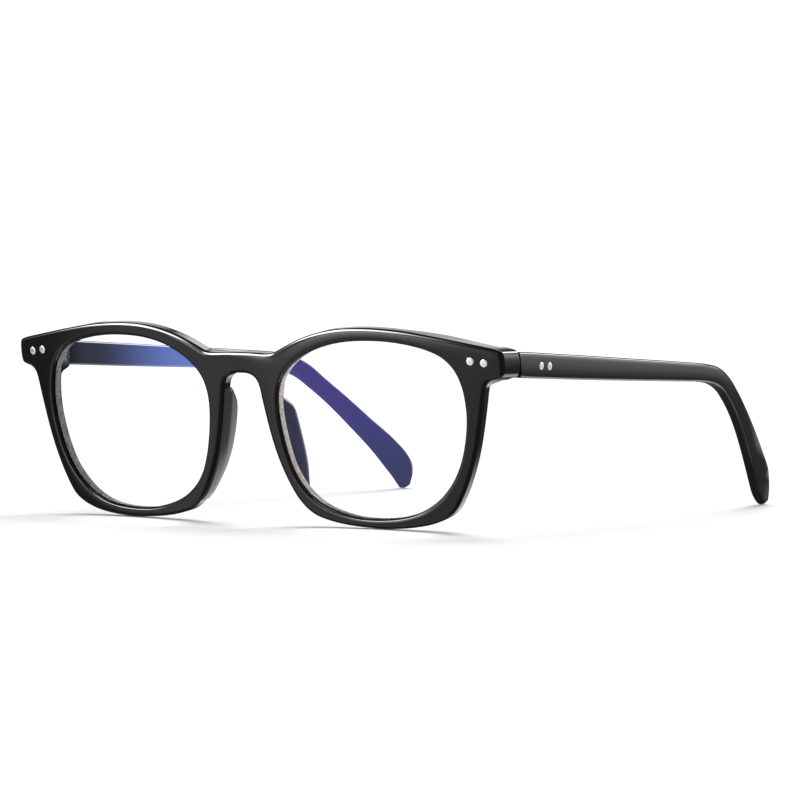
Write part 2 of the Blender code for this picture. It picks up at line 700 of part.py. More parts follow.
def build_temple_rivets(side, word, pivot, temple, along):
    """Rivets from the temple's outer face inwards."""
    for which, behind in TEMPLE_RIVETS:
        y = TEMPLE_REF_Y + behind
        place = (shift((side * outer_x(y), y, temple_mid_z(y))) @ along
                 @ Matrix.Rotation(-side * math.pi / 2, 4, "Y"))
        rivet(f"temple_rivet_{which}_{word}", place, RIVET_SINK, TEMPLE_RIVET_L, pivot)
        hole = rivet_hole(f"temple_rivet_hole_{which}_{word}", place,
                          TEMPLE_RIVET_L + RIVET_CLEAR, pivot)
        cut(temple, hole, f"rivet_{which}")


# ---------------------------------------------------------------- hinges
# Boxes are two corners, left side. These two are in the frame on the hinge axis.
FRONT_SEAT = ((-5.1, SEAT_Y, -9), (POST_X - HINGE_X, 6, 9))
FRONT_PLATE = ((-4.7, SEAT_Y + LEAF_GAP, -HINGE_HALF),
               (1.35, SEAT_Y + LEAF_GAP + PLATE, HINGE_HALF))
# These are in the frame on the temple's inner face.
POCKET_DEPTH = 0.7
LEAF_POCKET = ((-3.0, -3.0, -2.3), (POCKET_DEPTH, 4.5, 2.1))
NECK_SLOT = ((0.3, -3.0, -CORE_H / 2 - CORE_CLEAR), (2.0, 4.3, CORE_H / 2 + CORE_CLEAR))
TEMPLE_PLATE = ((POCKET_DEPTH - LEAF_GAP - PLATE, 1.75, -HINGE_HALF),
                (POCKET_DEPTH - LEAF_GAP, 4.2, 1.95))
LEAF_NECK = ((0.2, 2.3, -CORE_H / 2), (1.75, 4.0, CORE_H / 2))
TEMPLE_SEAT_BACK = 0.2     # that frame's origin behind TEMPLE_REF_Y

# Corners (x, y) of a knuckle's foot, from the hinge axis.
FRONT_FOOT = [(-2.6, SEAT_Y + 0.5), (1.2, SEAT_Y + 0.5)]
TEMPLE_FOOT = [(1.42, 0.5), (1.42, 2.1), (1.8, 2.1), (1.8, 3.4), (1.3, 3.4)]

CHANNEL_START = 6.0
CHANNEL_SPARE = 0.5        # channel behind the core's end
TONGUE_START, TONGUE_END = 15.7, 21.0
TONGUE_SHY = 0.15          # how much lower than the core, above and below

BARREL_SPANS = [(-HINGE_HALF + i * BARREL_PITCH + BARREL_CLEAR / 2,
                 -HINGE_HALF + (i + 1) * BARREL_PITCH - BARREL_CLEAR / 2)
                for i in range(BARRELS)]


def build_pivot(side, word):
    """Empty on the hinge axis: its z runs up the axis, its y back, square to the butt plane."""
    pivot = bpy.data.objects.new(f"hinge_pivot_{word}", None)
    pivot.matrix_world = (shift((side * HINGE_X, SEAM_Y - HINGE_Z * TAN, HINGE_Z))
                          @ Matrix.Rotation(math.radians(TILT_DEG), 4, "X"))
    collection.objects.link(pivot)
    bpy.context.view_layer.update()
    return pivot


def tangent_angle(x, y, way):
    """Where on the barrel the tangent from (x, y) touches, to one side or the other."""
    return math.atan2(y, x) + way * math.acos(BARREL_R / math.hypot(x, y))


def knuckle(name, side, foot, span, matrix, parent):
    """Barrel and foot as one extruded profile: the arc, then the foot's corners."""
    low, high = span
    begin = tangent_angle(*foot[-1], 1)
    finish = tangent_angle(*foot[0], -1) + math.tau
    angles = [begin + (finish - begin) * i / BARREL_STEPS for i in range(BARREL_STEPS + 1)]
    profile = [(BARREL_R * math.cos(a), BARREL_R * math.sin(a)) for a in angles] + foot
    bm = bmesh.new()
    face = bm.faces.new([bm.verts.new((side * x * MM, y * MM, low * MM)) for x, y in profile])
    grown = bmesh.ops.extrude_face_region(bm, geom=[face])["geom"]
    bmesh.ops.translate(bm, vec=(0, 0, (high - low) * MM),
                        verts=[v for v in grown if isinstance(v, bmesh.types.BMVert)])
    return helper(finish_bmesh(name, bm, matrix, None, parent))


def leaf(name, side, corners, plate_frame, foot, spans, axis_frame, parent=None, holes=()):
    """Hinge leaf: a plate, one knuckle for each span, and the screw and rivet bores."""
    plate = box(name, side, corners, plate_frame, NICKEL, parent)
    for i, span in enumerate(spans):
        unite(plate, knuckle(f"{name}_knuckle_{i}", side, foot, span, axis_frame, parent),
              f"knuckle_{i}")
    bore = turned(f"{name}_bore", [(0, -6), (BORE_R, -6), (BORE_R, 6), (0, 6)], axis_frame,
                  None, parent)
    cut(plate, helper(bore), "screw_bore")
    for i, hole in enumerate(holes):
        cut(plate, hole, f"rivet_bore_{i}")
    return plate


def build_front_hinge(side, word, frame):
    """Seat cut out of the end piece, open upwards and downwards, and a three-barrel leaf."""
    cutter = helper(box(f"seat_cutter_{word}", side, FRONT_SEAT, frame))
    cut(front, cutter, f"hinge_seat_{word}")
    holes = build_front_rivets(side, word)
    leaf(f"front_hinge_leaf_{word}", side, FRONT_PLATE, frame, FRONT_FOOT, BARREL_SPANS[0::2],
         frame, holes=holes)


def build_temple_assembly(side, word, pivot, frame):
    """Temple with its leaf pocket, core, rivets and two-barrel leaf, all under the pivot."""
    temple = build_temple(side, word, pivot)
    along = Matrix.Rotation(side * math.atan(TEMPLE_SLOPE), 4, "Z")
    pitch = math.atan((temple_mid_z(28.0) - temple_mid_z(14.0)) / 14.0)
    # Frame on the inner face: y runs along the temple, x across it, outwards on the left side.
    seat_x = TEMPLE_OUTER_X - BUTT_THICK - TEMPLE_SLOPE * TEMPLE_SEAT_BACK
    seat = (shift((side * seat_x, TEMPLE_REF_Y + TEMPLE_SEAT_BACK, HINGE_Z))
            @ along @ Matrix.Rotation(pitch, 4, "X"))
    for name, corners in (("leaf_pocket", LEAF_POCKET), ("neck_slot", NECK_SLOT)):
        cut(temple, helper(box(f"{name}_{word}", side, corners, seat, None, pivot)), name)
    channel = core_bar(f"core_channel_{word}", side, CHANNEL_START, CORE_END + CHANNEL_SPARE,
                       pivot, grow_x=CORE_CLEAR, grow_z=CORE_CLEAR)
    cut(temple, helper(channel), "core_channel")
    core_bar(f"temple_core_{word}", side, CORE_START, CORE_END, pivot, mat=CORE)
    build_temple_rivets(side, word, pivot, temple, along)

    hinge = leaf(f"temple_hinge_leaf_{word}", side, TEMPLE_PLATE, seat, TEMPLE_FOOT,
                 BARREL_SPANS[1::2], frame, pivot)
    # The leaf is held by a tongue that runs into the core channel.
    unite(hinge, helper(box(f"leaf_neck_{word}", side, LEAF_NECK, seat, None, pivot)), "neck")
    tongue = core_bar(f"leaf_tongue_{word}", side, TONGUE_START, TONGUE_END, pivot,
                      grow_z=-TONGUE_SHY)
    unite(hinge, helper(tongue), "tongue")


# ---------------------------------------------------------------- hinge screws
PIN_R = 0.55
PIN_CHAMFER = 0.1
PIN_TAIL = 0.15            # tail below the lowest barrel
SCREW_HEAD_R = 1.05
SCREW_TOP_R = 0.85         # flat top of the head, inside its chamfer
SCREW_HEAD_GAP = 0.05      # heights above the top barrel: underside, edge and top of the head
SCREW_EDGE = 0.4
SCREW_TOP = 0.6
SLOT_HALF_L, SLOT_HALF_W = 1.5, 0.14
SLOT_FLOOR, SLOT_CUT_TOP = 0.35, 1.0   # heights above the top barrel
SLOT_TURN_DEG = 35


def build_screw(side, word, frame):
    """Hinge screw with a slotted head on top of the barrels."""
    bottom, top = BARREL_SPANS[0][0], BARREL_SPANS[-1][1]
    profile = [(0, bottom - PIN_TAIL), (PIN_R - PIN_CHAMFER, bottom - PIN_TAIL), (PIN_R, bottom),
               (PIN_R, top + SCREW_HEAD_GAP), (SCREW_HEAD_R, top + SCREW_HEAD_GAP),
               (SCREW_HEAD_R, top + SCREW_EDGE), (SCREW_TOP_R, top + SCREW_TOP),
               (0, top + SCREW_TOP)]
    screw = turned(f"hinge_screw_{word}", profile, frame, STEEL)
    corners = ((-SLOT_HALF_L, -SLOT_HALF_W, top + SLOT_FLOOR),
               (SLOT_HALF_L, SLOT_HALF_W, top + SLOT_CUT_TOP))
    turn = Matrix.Rotation(math.radians(SLOT_TURN_DEG * side), 4, "Z")
    cut(screw, helper(box(f"screw_slot_{word}", side, corners, frame @ turn)), "slot")


# ---------------------------------------------------------------- assembly
front = build_front()
for side, word in SIDES:
    build_lens(side, word)
    build_pad(side, word)
    pivot = build_pivot(side, word)
    frame = pivot.matrix_world.copy()
    build_front_hinge(side, word, frame)
    build_temple_assembly(side, word, pivot, frame)
    build_screw(side, word, frame)

# From the layout's zero to the part's origin. What hangs from a pivot moves with it.
bpy.context.view_layer.update()
for obj in bpy.data.objects:
    if obj.parent is None:
        obj.matrix_world = shift(LAYOUT_SHIFT) @ obj.matrix_world
bpy.context.view_layer.update()
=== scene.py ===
"""Looks for the blue light glasses: acetate front and temples, lenses, pads and rivets.

The front faces -y, the temples run back along +y, z is up and the part called left is at +x.
Shapes are laid out in mm from the top of the bridge; SHIFT takes them to the part's origin.
The front is drawn flat as (x, z), with depth measured back from its front face.
"""
import math

import bmesh
import bpy
import numpy as np
from mathutils import Matrix, Vector
from mathutils.geometry import delaunay_2d_cdt


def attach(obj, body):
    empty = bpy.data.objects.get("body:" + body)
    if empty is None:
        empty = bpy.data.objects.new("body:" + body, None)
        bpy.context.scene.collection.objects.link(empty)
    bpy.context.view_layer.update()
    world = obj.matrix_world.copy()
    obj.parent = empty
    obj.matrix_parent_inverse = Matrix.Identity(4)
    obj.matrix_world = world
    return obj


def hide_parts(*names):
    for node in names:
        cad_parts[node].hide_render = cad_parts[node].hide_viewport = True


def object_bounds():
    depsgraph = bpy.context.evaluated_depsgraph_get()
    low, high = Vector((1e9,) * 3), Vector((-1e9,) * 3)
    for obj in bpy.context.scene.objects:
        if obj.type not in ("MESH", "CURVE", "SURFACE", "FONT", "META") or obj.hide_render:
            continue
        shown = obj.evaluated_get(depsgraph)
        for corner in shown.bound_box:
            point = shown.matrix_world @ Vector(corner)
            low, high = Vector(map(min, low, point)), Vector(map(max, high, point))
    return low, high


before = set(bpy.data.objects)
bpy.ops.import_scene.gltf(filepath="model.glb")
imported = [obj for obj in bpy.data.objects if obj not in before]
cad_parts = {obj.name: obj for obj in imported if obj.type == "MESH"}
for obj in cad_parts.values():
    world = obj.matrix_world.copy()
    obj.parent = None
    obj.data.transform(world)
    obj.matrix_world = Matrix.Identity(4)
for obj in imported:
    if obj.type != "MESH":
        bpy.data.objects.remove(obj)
cad_low, cad_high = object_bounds()

# ------------------------------------------------------------------ dimensions, mm
MM = 0.001
SHIFT = Matrix.Translation(Vector((0.0, -71.69, 39.9)) * MM)
SIDES = ((1, "left"), (-1, "right"))

# front
TILT = math.radians(8.0)
TAN = math.tan(TILT)
WRAP_RADIUS = 435.0
CURVE = 1.0 / WRAP_RADIUS
FRONT_THICK = 3.3
BACK_ROUND, BUTT_ROUND, OPENING_ROUND = 0.5, 0.06, 0.30
WALL_STEP = 0.12          # straight wall beside each rounded outer edge
LOOP_STEP = 0.8           # spacing of points along a border
TURN_STEP = math.radians(7.0)   # a turn this large earns one more point

# Right half of the outline as (x, z): the top from the middle, the end, then back below.
OUTLINE_TOP = [
    (0, 0), (4, 0), (8.0, -0.15), (9.8, 0.1), (11.2, 0.7), (14, 2.0), (17, 3.25),
    (20.5, 4.4), (24.5, 5.35), (29.5, 6.05), (35.2, 6.3), (40.3, 6.15), (46, 5.7),
    (52, 4.9), (58, 4.0), (64, 3.0), (69.6, 1.95)]
OUTLINE_END = [
    (70.45, 1.5), (70.75, 0.7), (70.9, -1.15), (70.75, -3.0), (70.4, -3.85), (69.6, -4.3)]
OUTLINE_LOW = [
    (68.0, -4.7), (66.9, -5.3), (66.15, -6.3), (65.65, -8.0), (65.15, -10.5), (64.1, -15.3),
    (62.95, -20.0), (61.35, -25.0), (59.55, -29.3), (57.75, -32.7), (55.95, -35.25),
    (53.25, -37.1), (49.5, -38.5), (45.2, -39.35), (41.0, -39.8), (36.5, -39.95),
    (31.7, -39.8), (26.5, -39.35), (22.0, -38.55), (18.4, -37.45), (15.75, -35.75),
    (13.55, -33.35), (11.75, -30.45), (10.15, -27.25), (8.85, -24.0), (7.85, -20.8),
    (6.95, -17.2), (6.25, -13.8), (5.65, -10.7), (5.2, -8.2), (4.75, -6.9), (4.0, -5.9),
    (2.85, -5.2), (1.5, -4.9), (0, -4.85)]
# Lens opening at +x as (x, z).
OPENING = [
    (36, 3.6), (42, 3.4), (47.5, 2.65), (52.1, 1.5), (55.7, -0.15), (58.5, -2.95),
    (60.1, -6.7), (60.7, -10.8), (60.65, -15.0), (59.8, -19.8), (58.45, -24.2),
    (56.5, -28.0), (54.2, -31.0), (50.9, -33.9), (47.1, -36.0), (42.0, -37.4),
    (36.0, -37.95), (30.0, -37.75), (24.6, -36.6), (20.1, -34.8), (16.35, -32.0),
    (13.55, -28.4), (11.75, -23.9), (10.55, -18.8), (9.95, -13.7), (10.15, -9.6),
    (11.4, -6.0), (14.25, -2.8), (18.2, -0.15), (23.5, 1.95), (29.5, 3.2)]

# Slope of the front face beside an edge: (distance from the edge, degrees).
OUTER_SLOPES = [
    (0, 84), (0.05, 71), (0.13, 58), (0.22, 48), (0.32, 39), (0.40, 34.5), (0.66, 27),
    (0.76, 13), (0.90, 6), (1.2, 3.5), (1.8, 2), (2.8, 0)]
INNER_SLOPES = [
    (0, 84), (0.03, 66), (0.08, 46), (0.15, 30), (0.24, 18), (0.36, 8), (0.55, 2.5), (0.9, 0)]
# Distances of the mesh rows from each edge.
OUTER_ROWS = (0.0, 0.02, 0.06, 0.12, 0.20, 0.30, 0.42, 0.54, 0.66, 0.78)
INNER_ROWS = (0.0, 0.02, 0.05, 0.10, 0.17, 0.26, 0.38)

# lens groove and lens
GROOVE_DEPTH, GROOVE_HALF, GROOVE_AT = 0.85, 1.05, 1.85
LENS_HALF, LENS_BULGE, LENS_GAP = 0.9, 0.75, 0.15
BREAK_IN, BREAK_RISE, BREAK_DROP = 0.20, 0.015, 0.16   # broken front edge of the lens
TIP_GAP = 0.18
LENS_ROWS = [0.06, 0.14, 0.22, 0.3, 0.38, 0.46, 0.54, 0.62, 0.7, 0.78, 0.86, 0.93, 0.97]

# end pieces, where depth turns to run straight back
END_FROM, END_RAMP, BROW_RAMP, SEAM_Y, BUTT_GAP = 62.3, 4.4, 13.6, 12.8, 0.05
HINGE_X, HINGE_Z, SEAT_Y, POST_X = 65.6, -1.6, -2.2, 67.2
SEAT_BOX = (-5.1, SEAT_Y, -9), (POST_X - HINGE_X, 6, 9)
SEAT_COVER = 0.3

# rivets: front ones as (name, x, z), temple ones as (name, distance behind TEMPLE_Y)
FRONT_RIVETS = [("outer", 66.15, -1.1), ("inner", 62.75, -0.75)]
TEMPLE_RIVETS = [("front", 9.0), ("rear", 12.6)]
HEAD_LENGTH, SHANK, RING, SHANK_GAP = 0.60, 0.50, 0.12, 0.05
HEAD_DOME, HEAD_ROUND, HEAD_SINK = 0.035, 0.20, 0.02
MIDDLE_SHARE = 0.46       # share of the head's radius in the middle's metal; the rest gets the painted highlight
FRONT_RIVET = {"radius": 0.93, "length": 6.0, "hole_depth": 11}
TEMPLE_RIVET = {"radius": 0.95, "length": 2.9, "hole_depth": 3.0}
TURN_SEGMENTS = 40

# temples
TEMPLE_Y, TEMPLE_OUTER_X, TEMPLE_SLOPE, TEMPLE_THICK = 13.1, 71.05, 0.0572, 3.8
TEMPLE_EDGE, TEMPLE_CROWN, FULL_HEIGHT = 0.6, 0.14, 5.4
BUTT_TOP, BUTT_LOW, BUTT_BREAK = 1.4, -4.38, 0.07
# Stations: y, z of the lower edge, y, z of the upper edge, thickness, bend inwards.
STATIONS = [
    (16.5, -4.65, 16.0, 1.3, 3.8, 0.0),
    (28.0, -5.2, 28.0, 0.62, 3.7, 0.0),
    (40.0, -5.75, 40.0, -0.07, 3.6, 0.0),
    (63.5, -6.7, 63.5, -1.47, 3.4, 0.0),
    (86.0, -7.55, 86.5, -2.85, 3.2, 0.0),
    (97.5, -8.05, 98.5, -3.7, 3.1, 0.0),
    (102.5, -8.75, 104.9, -4.75, 3.0, 0.15),
    (107.3, -10.4, 110.5, -7.25, 3.0, 0.55),
    (111.7, -13.1, 115.5, -10.6, 2.9, 1.2),
    (117.2, -17.1, 121.1, -14.45, 2.8, 2.3),
    (123.9, -23.0, 128.8, -20.2, 2.7, 4.0),
    (130.7, -29.6, 136.5, -26.1, 2.6, 6.0),
    (135.0, -34.4, 141.6, -30.7, 2.5, 7.2),
    (137.2, -36.9, 143.2, -33.4, 2.4, 7.8),
    (138.9, -38.7, 143.4, -36.2, 2.3, 7.9),
    (140.0, -39.7, 142.9, -38.4, 2.0, 7.9)]
STATION_STEPS = [4, 8, 8, 14, 14] + [8] * 11
TIP_LENGTH, TIP_AHEAD = 0.55, np.array((0.55, -0.62))
# Hinge pocket and the neck that joins it to the core wire's channel.
POCKET_Y, POCKET_INSET = 13.3, 0.2
CORE_START, CORE_END, CORE_W, CORE_H, CORE_CLEAR, CORE_INSET = 6.0, 96.0, 1.0, 1.8, 0.12, 1.75
CHANNEL_W, CHANNEL_H = CORE_W / 2 + CORE_CLEAR, CORE_H / 2 + CORE_CLEAR
POCKET_BOX = (-3.0, -3.0, -2.3), (0.7, 4.5, 2.1)
NECK_BOX = (0.3, -3.0, -CHANNEL_H), (2.0, 4.3, CHANNEL_H)

# Nose pad rows: (z, swell from 0 to 1).
PAD_ROWS = [
    (-8.8, 0.0), (-10.0, 0.25), (-11.3, 0.56), (-12.6, 0.82), (-14.2, 0.96), (-16.0, 1.0),
    (-18.0, 1.0), (-21.0, 0.97), (-24.0, 0.9), (-26.2, 0.8), (-28.2, 0.66), (-30.2, 0.46),
    (-32.2, 0.26), (-34.0, 0.12), (-35.2, 0.04)]
# Pad section behind the front: x from the skin as (mm, share of width, share of lean),
# then depth behind the front as a share of the reach.
PAD_SECTION = [
    (0.05, 0, 0.3, 0.40), (0.15, 0, 0.65, 0.78), (0.35, 0, 0.95, 0.95), (0, 0.45, 1, 1),
    (0, 0.8, 0.95, 0.93), (0, 1.05, 0.7, 0.72), (0, 1.2, 0.3, 0.36), (0, 1.25, 0, 0)]
PAD_REACH_MIN, PAD_REACH = 0.30, 4.95
PAD_WIDTH_MIN, PAD_WIDTH, PAD_LEAN = 1.7, 0.55, 1.85
PAD_FLANGE, PAD_FRONT, PAD_GAP = 0.35, 0.9, 0.04
PAD_FADE_TOP, PAD_FADE_LOW, PAD_FADE_MIN = 1.2, 1.5, 0.15

# ------------------------------------------------------------------ shader nodes
RISE, FALL = (0.0, 1.0), (1.0, 0.0)


class Nodes:
    """Short way to wire shader maths."""

    def __init__(self, tree):
        self.tree = tree
        tree.nodes.clear()

    def add(self, kind, **props):
        node = self.tree.nodes.new("ShaderNode" + kind)
        for key, value in props.items():
            setattr(node, key, value)
        return node

    def plug(self, node, key, value):
        """Links or sets an input; None leaves it alone."""
        socket = node.inputs[key]
        if isinstance(value, bpy.types.NodeSocket):
            self.tree.links.new(value, socket)
        elif value is not None:
            socket.default_value = value

    def math(self, operation, *values):
        node = self.add("Math", operation=operation)
        for i, value in enumerate(values):
            self.plug(node, i, value)
        return node.outputs[0]

    def product(self, first, *rest):
        return self.math("MULTIPLY", first, self.product(*rest)) if rest else first

    def total(self, first, *rest):
        return self.math("ADD", first, self.total(*rest)) if rest else first

    def vary(self, value, level, spread):
        """Level plus or minus half the spread, as value goes from 0 to 1."""
        return self.math("MULTIPLY_ADD", value, spread, level - spread * 0.5)

    def step(self, value, span, levels=RISE):
        """Smooth change between two levels as value crosses the span."""
        node = self.add("MapRange", interpolation_type="SMOOTHSTEP")
        self.plug(node, "Value", value)
        for key, number in zip(("From Min", "From Max", "To Min", "To Max"), (*span, *levels)):
            self.plug(node, key, number)
        return node.outputs[0]

    def window(self, value, edges):
        """Rises between the first two edges and falls between the last two."""
        return self.product(self.step(value, edges[:2]), self.step(value, edges[2:], FALL))

    def mix(self, factor, first, second, blend="MIX"):
        node = self.add("Mix", data_type="RGBA", blend_type=blend)
        for key, value in ((0, factor), (6, first), (7, second)):
            self.plug(node, key, value)
        return node.outputs[2]

    def noise(self, vector, scale, detail=3.0, rough=0.55, stretch=None):
        if stretch:
            mapping = self.add("Mapping")
            self.plug(mapping, "Vector", vector)
            self.plug(mapping, "Scale", stretch)
            vector = mapping.outputs[0]
        node = self.add("TexNoise")
        self.plug(node, "Vector", vector)
        self.plug(node, "Scale", scale)
        self.plug(node, "Detail", detail)
        self.plug(node, "Roughness", rough)
        return node.outputs["Fac"]

    def bump(self, height, strength, distance, normal=None):
        node = self.add("Bump")
        self.plug(node, "Strength", strength)
        self.plug(node, "Distance", distance)
        self.plug(node, "Height", height)
        self.plug(node, "Normal", normal)
        return node.outputs[0]

    def place(self):
        return self.add("TexCoord").outputs["Object"]

    def split(self, vector):
        node = self.add("SeparateXYZ")
        self.plug(node, 0, vector)
        return node.outputs

    def camera_ray(self):
        return self.add("LightPath").outputs["Is Camera Ray"]

    def both(self, first, second):
        node = self.add("AddShader")
        self.plug(node, 0, first.outputs[0])
        self.plug(node, 1, second.outputs[0])
        return node

    def finish(self, shader):
        self.plug(self.output, "Surface", shader.outputs[0])


def new_material(name):
    mat = bpy.data.materials.new(name)
    mat.use_nodes = True
    net = Nodes(mat.node_tree)
    net.output = net.add("OutputMaterial")
    return mat, net


# ------------------------------------------------------------------ materials


def acetate(name, dark, light, rough, spread, wave=0.005, ior=1.47):
    """Polished cellulose acetate: a faint cloud, tumbling haze and hairline scratches."""
    mat, net = new_material(name)
    where = net.place()
    shader = net.add("BsdfPrincipled")
    cloud = net.step(net.noise(where, scale=90.0, detail=4.0), span=(0.35, 0.65))
    net.plug(shader, "Base Color", net.mix(cloud, (*dark, 1), (*light, 1)))
    haze = net.noise(where, scale=420.0, detail=5.0, rough=0.6)
    fine = net.noise(where, scale=2600.0, detail=2.0, rough=0.5)
    hair = net.noise(where, scale=900.0, detail=2.0, rough=0.5, stretch=(1.0, 0.08, 1.6))
    hazy = net.vary(haze, rough, spread)
    scratched = net.step(hair, span=(0.62, 0.70))
    hair_share = 0.6   # scratches add this share of the spread
    net.plug(shader, "Roughness", net.math("MULTIPLY_ADD", scratched, spread * hair_share, hazy))
    net.plug(shader, "IOR", ior)
    wavy = net.noise(where, scale=160.0, detail=1.0, rough=0.4)
    normal = net.bump(wavy, strength=wave, distance=0.001)
    normal = net.bump(fine, strength=0.0015, distance=0.0002, normal=normal)
    cuts = net.step(hair, span=(0.64, 0.70))
    normal = net.bump(cuts, strength=0.003, distance=0.0001, normal=normal)
    net.plug(shader, "Normal", normal)
    net.finish(shader)
    return mat


EVEN_GRAIN = (1.0, 1.0, 1.0)


def metal(name, colour, rough, grain, along=(1.0, 1.0, 14.0), metallic=1.0):
    """Metal with drawn or even grain."""
    mat, net = new_material(name)
    where = net.place()
    shader = net.add("BsdfPrincipled")
    net.plug(shader, "Metallic", metallic)
    streak = net.noise(where, scale=2500.0, detail=4.0, rough=0.6, stretch=along)
    spot = net.noise(where, scale=700.0)
    darken = 0.86
    dark = [c * darken for c in colour]
    net.plug(shader, "Base Color", net.mix(spot, (*dark, 1), (*colour, 1)))
    net.plug(shader, "Roughness", net.vary(streak, rough, grain))
    net.plug(shader, "Normal", net.bump(streak, strength=0.05, distance=0.00008))
    net.finish(shader)
    return mat


# Painted sheens: camera-only emission standing in for the coating's coloured reflection. They work
# on the part's x and z in metres and on "inset", the mm from the opening's edge.


def right_painted_sheen(net, x, z, inset):
    """Painted sheen for the right lens: bluer towards the nose; only in the upper part and away
    from the outer end.
    """
    tint = net.mix(net.step(x, span=(-0.046, -0.012)),
                   (0.026, 0.028, 0.044, 1), (0.140, 0.205, 0.570, 1))
    level = net.product(net.step(x, span=(-0.0575, -0.047)), net.step(z, span=(0.0225, 0.0265)))
    return tint, net.product(level, net.step(inset, span=(0.1, 0.5)))


def left_painted_sheen(net, x, z, inset):
    """Painted sheen for the left lens, strongest beyond a diagonal, where the far temple is seen
    through the lens.
    """
    across_x, across_z = 0.72, 0.69
    lean = net.math("MULTIPLY_ADD", x, across_x, net.product(z, across_z))
    beyond = net.step(lean, span=(0.0295, 0.0345))
    height = net.step(z, span=(0.006, 0.030))
    strong = net.mix(height, (0.032, 0.042, 0.095, 1), (0.052, 0.046, 0.195, 1))
    tint = net.mix(beyond, (0.004, 0.003, 0.030, 1), strong)
    nasal = net.product(net.step(x, span=(0.018, 0.024), levels=FALL),
                        net.step(z, span=(0.030, 0.034), levels=FALL))
    margin, nasal_margin = 0.2, 0.9   # rim left bare of painted sheen, in mm, and what the nose side adds
    bare = net.math("MULTIPLY_ADD", nasal, nasal_margin, margin)
    return tint, net.step(net.math("SUBTRACT", inset, bare), span=(0.0, 0.5))


def coated_lens(name, painted_sheen_of):
    """Clear resin with a blue-violet tinted gloss, and a painted sheen: emission seen only by the
    camera, standing in for the coating's coloured reflection.
    """
    mat, net = new_material(name)
    where = net.place()
    x, _, z = net.split(where)
    clear = net.add("BsdfTransparent")
    net.plug(clear, "Color", (0.985, 0.987, 0.995, 1))
    gloss = net.add("BsdfGlossy")
    net.plug(gloss, "Roughness", 0.02)
    fresnel = net.add("Fresnel")
    net.plug(fresnel, "IOR", 1.12)
    swirl = net.step(net.noise(where, scale=35.0, detail=2.0), span=(0.35, 0.65))
    tint = net.mix(swirl, (0.26, 0.22, 1.0, 1), (0.20, 0.34, 1.0, 1))
    seen = net.product(fresnel.outputs[0], net.camera_ray())
    net.plug(gloss, "Color", net.mix(1.0, tint, seen, blend="MULTIPLY"))
    # Painted sheen: emission placed by position, on front faces only, seen only by the camera.
    painted_sheen_glow = net.add("Emission")
    inset = net.add("Attribute", attribute_name="inset").outputs["Fac"]
    tint, level = painted_sheen_of(net, x, z, inset)
    net.plug(painted_sheen_glow, "Color", tint)
    behind = net.add("NewGeometry").outputs["Backfacing"]
    level = net.product(level, net.math("SUBTRACT", 1.0, behind))
    net.plug(painted_sheen_glow, "Strength", net.product(level, net.camera_ray()))
    net.finish(net.both(clear, net.both(gloss, painted_sheen_glow)))
    return mat


def frosted(name, low, high):
    """Ground edge of a lens: matt, with grinding marks."""
    mat, net = new_material(name)
    where = net.place()
    shader = net.add("BsdfPrincipled")
    grind = net.noise(where, scale=1500.0, detail=4.0, rough=0.65)
    colour = net.mix(net.step(grind, span=(0.3, 0.7)), (*low, 1), (*high, 1))
    # Above and below, less light gets into the groove.
    across = net.split(net.add("NewGeometry").outputs["Normal"])[0]
    shade = net.step(net.math("ABSOLUTE", across), span=(0.15, 0.5), levels=(0.22, 1.0))
    net.plug(shader, "Base Color", net.mix(1.0, colour, shade, blend="MULTIPLY"))
    net.plug(shader, "Roughness", net.vary(grind, level=0.5, spread=0.3))
    net.plug(shader, "Normal", net.bump(grind, strength=0.2, distance=0.0001))
    net.finish(shader)
    return mat


def floor_paint():
    mat, net = new_material("pale_floor")
    shader = net.add("BsdfDiffuse")
    grain = net.noise(net.place(), scale=30.0)
    net.plug(shader, "Color", net.mix(grain, (0.852, 0.852, 0.852, 1), (0.862, 0.862, 0.862, 1)))
    net.finish(shader)
    return mat


ACETATE = acetate("polished_black_acetate", dark=(0.0028, 0.0030, 0.0032),
                  light=(0.0042, 0.0045, 0.0049), rough=0.035, spread=0.015)
TEMPLE_ACETATE = acetate("temple_black_acetate", dark=(0.0028, 0.0029, 0.0031),
                         light=(0.0042, 0.0043, 0.0046), rough=0.05, spread=0.025)
PAD_ACETATE = acetate("pad_black_acetate", dark=(0.040, 0.040, 0.040),
                      light=(0.046, 0.046, 0.046), rough=0.24, spread=0.015, wave=0.002, ior=1.40)
NICKEL = metal("satin_nickel_silver", colour=(0.72, 0.71, 0.69), rough=0.24, grain=0.16)
# Rivet heads are one silver, split in two: the rim is a paler, less metallic copy of it, a painted
# highlight ring.
RIVET_RIM_PAINTED_HIGHLIGHT = metal("silver_rivet_rim_painted_highlight", colour=(0.97, 0.97, 0.97), rough=0.22, grain=0.08,
                  along=EVEN_GRAIN, metallic=0.35)
RIVET_MIDDLE = metal("silver_rivet_middle", colour=(0.93, 0.93, 0.93), rough=0.20, grain=0.08,
                     along=EVEN_GRAIN, metallic=0.85)
STEEL = metal("screw_steel", colour=(0.62, 0.62, 0.62), rough=0.20, grain=0.10, along=EVEN_GRAIN)
CORE = metal("core_wire", colour=(0.68, 0.67, 0.64), rough=0.32, grain=0.12)
LENS_LEFT = coated_lens("coated_lens_left", left_painted_sheen)
LENS_RIGHT = coated_lens("coated_lens_right", right_painted_sheen)
# One ground finish for both lens edges; the right one is a darker copy of it: painted shade.
EDGE_LEFT = frosted("ground_lens_edge_left", low=(0.46, 0.41, 0.36), high=(0.88, 0.81, 0.73))
EDGE_RIGHT_SHADED = frosted("ground_lens_edge_right_shaded", low=(0.16, 0.16, 0.155), high=(0.40, 0.40, 0.39))

# ------------------------------------------------------------------ curves


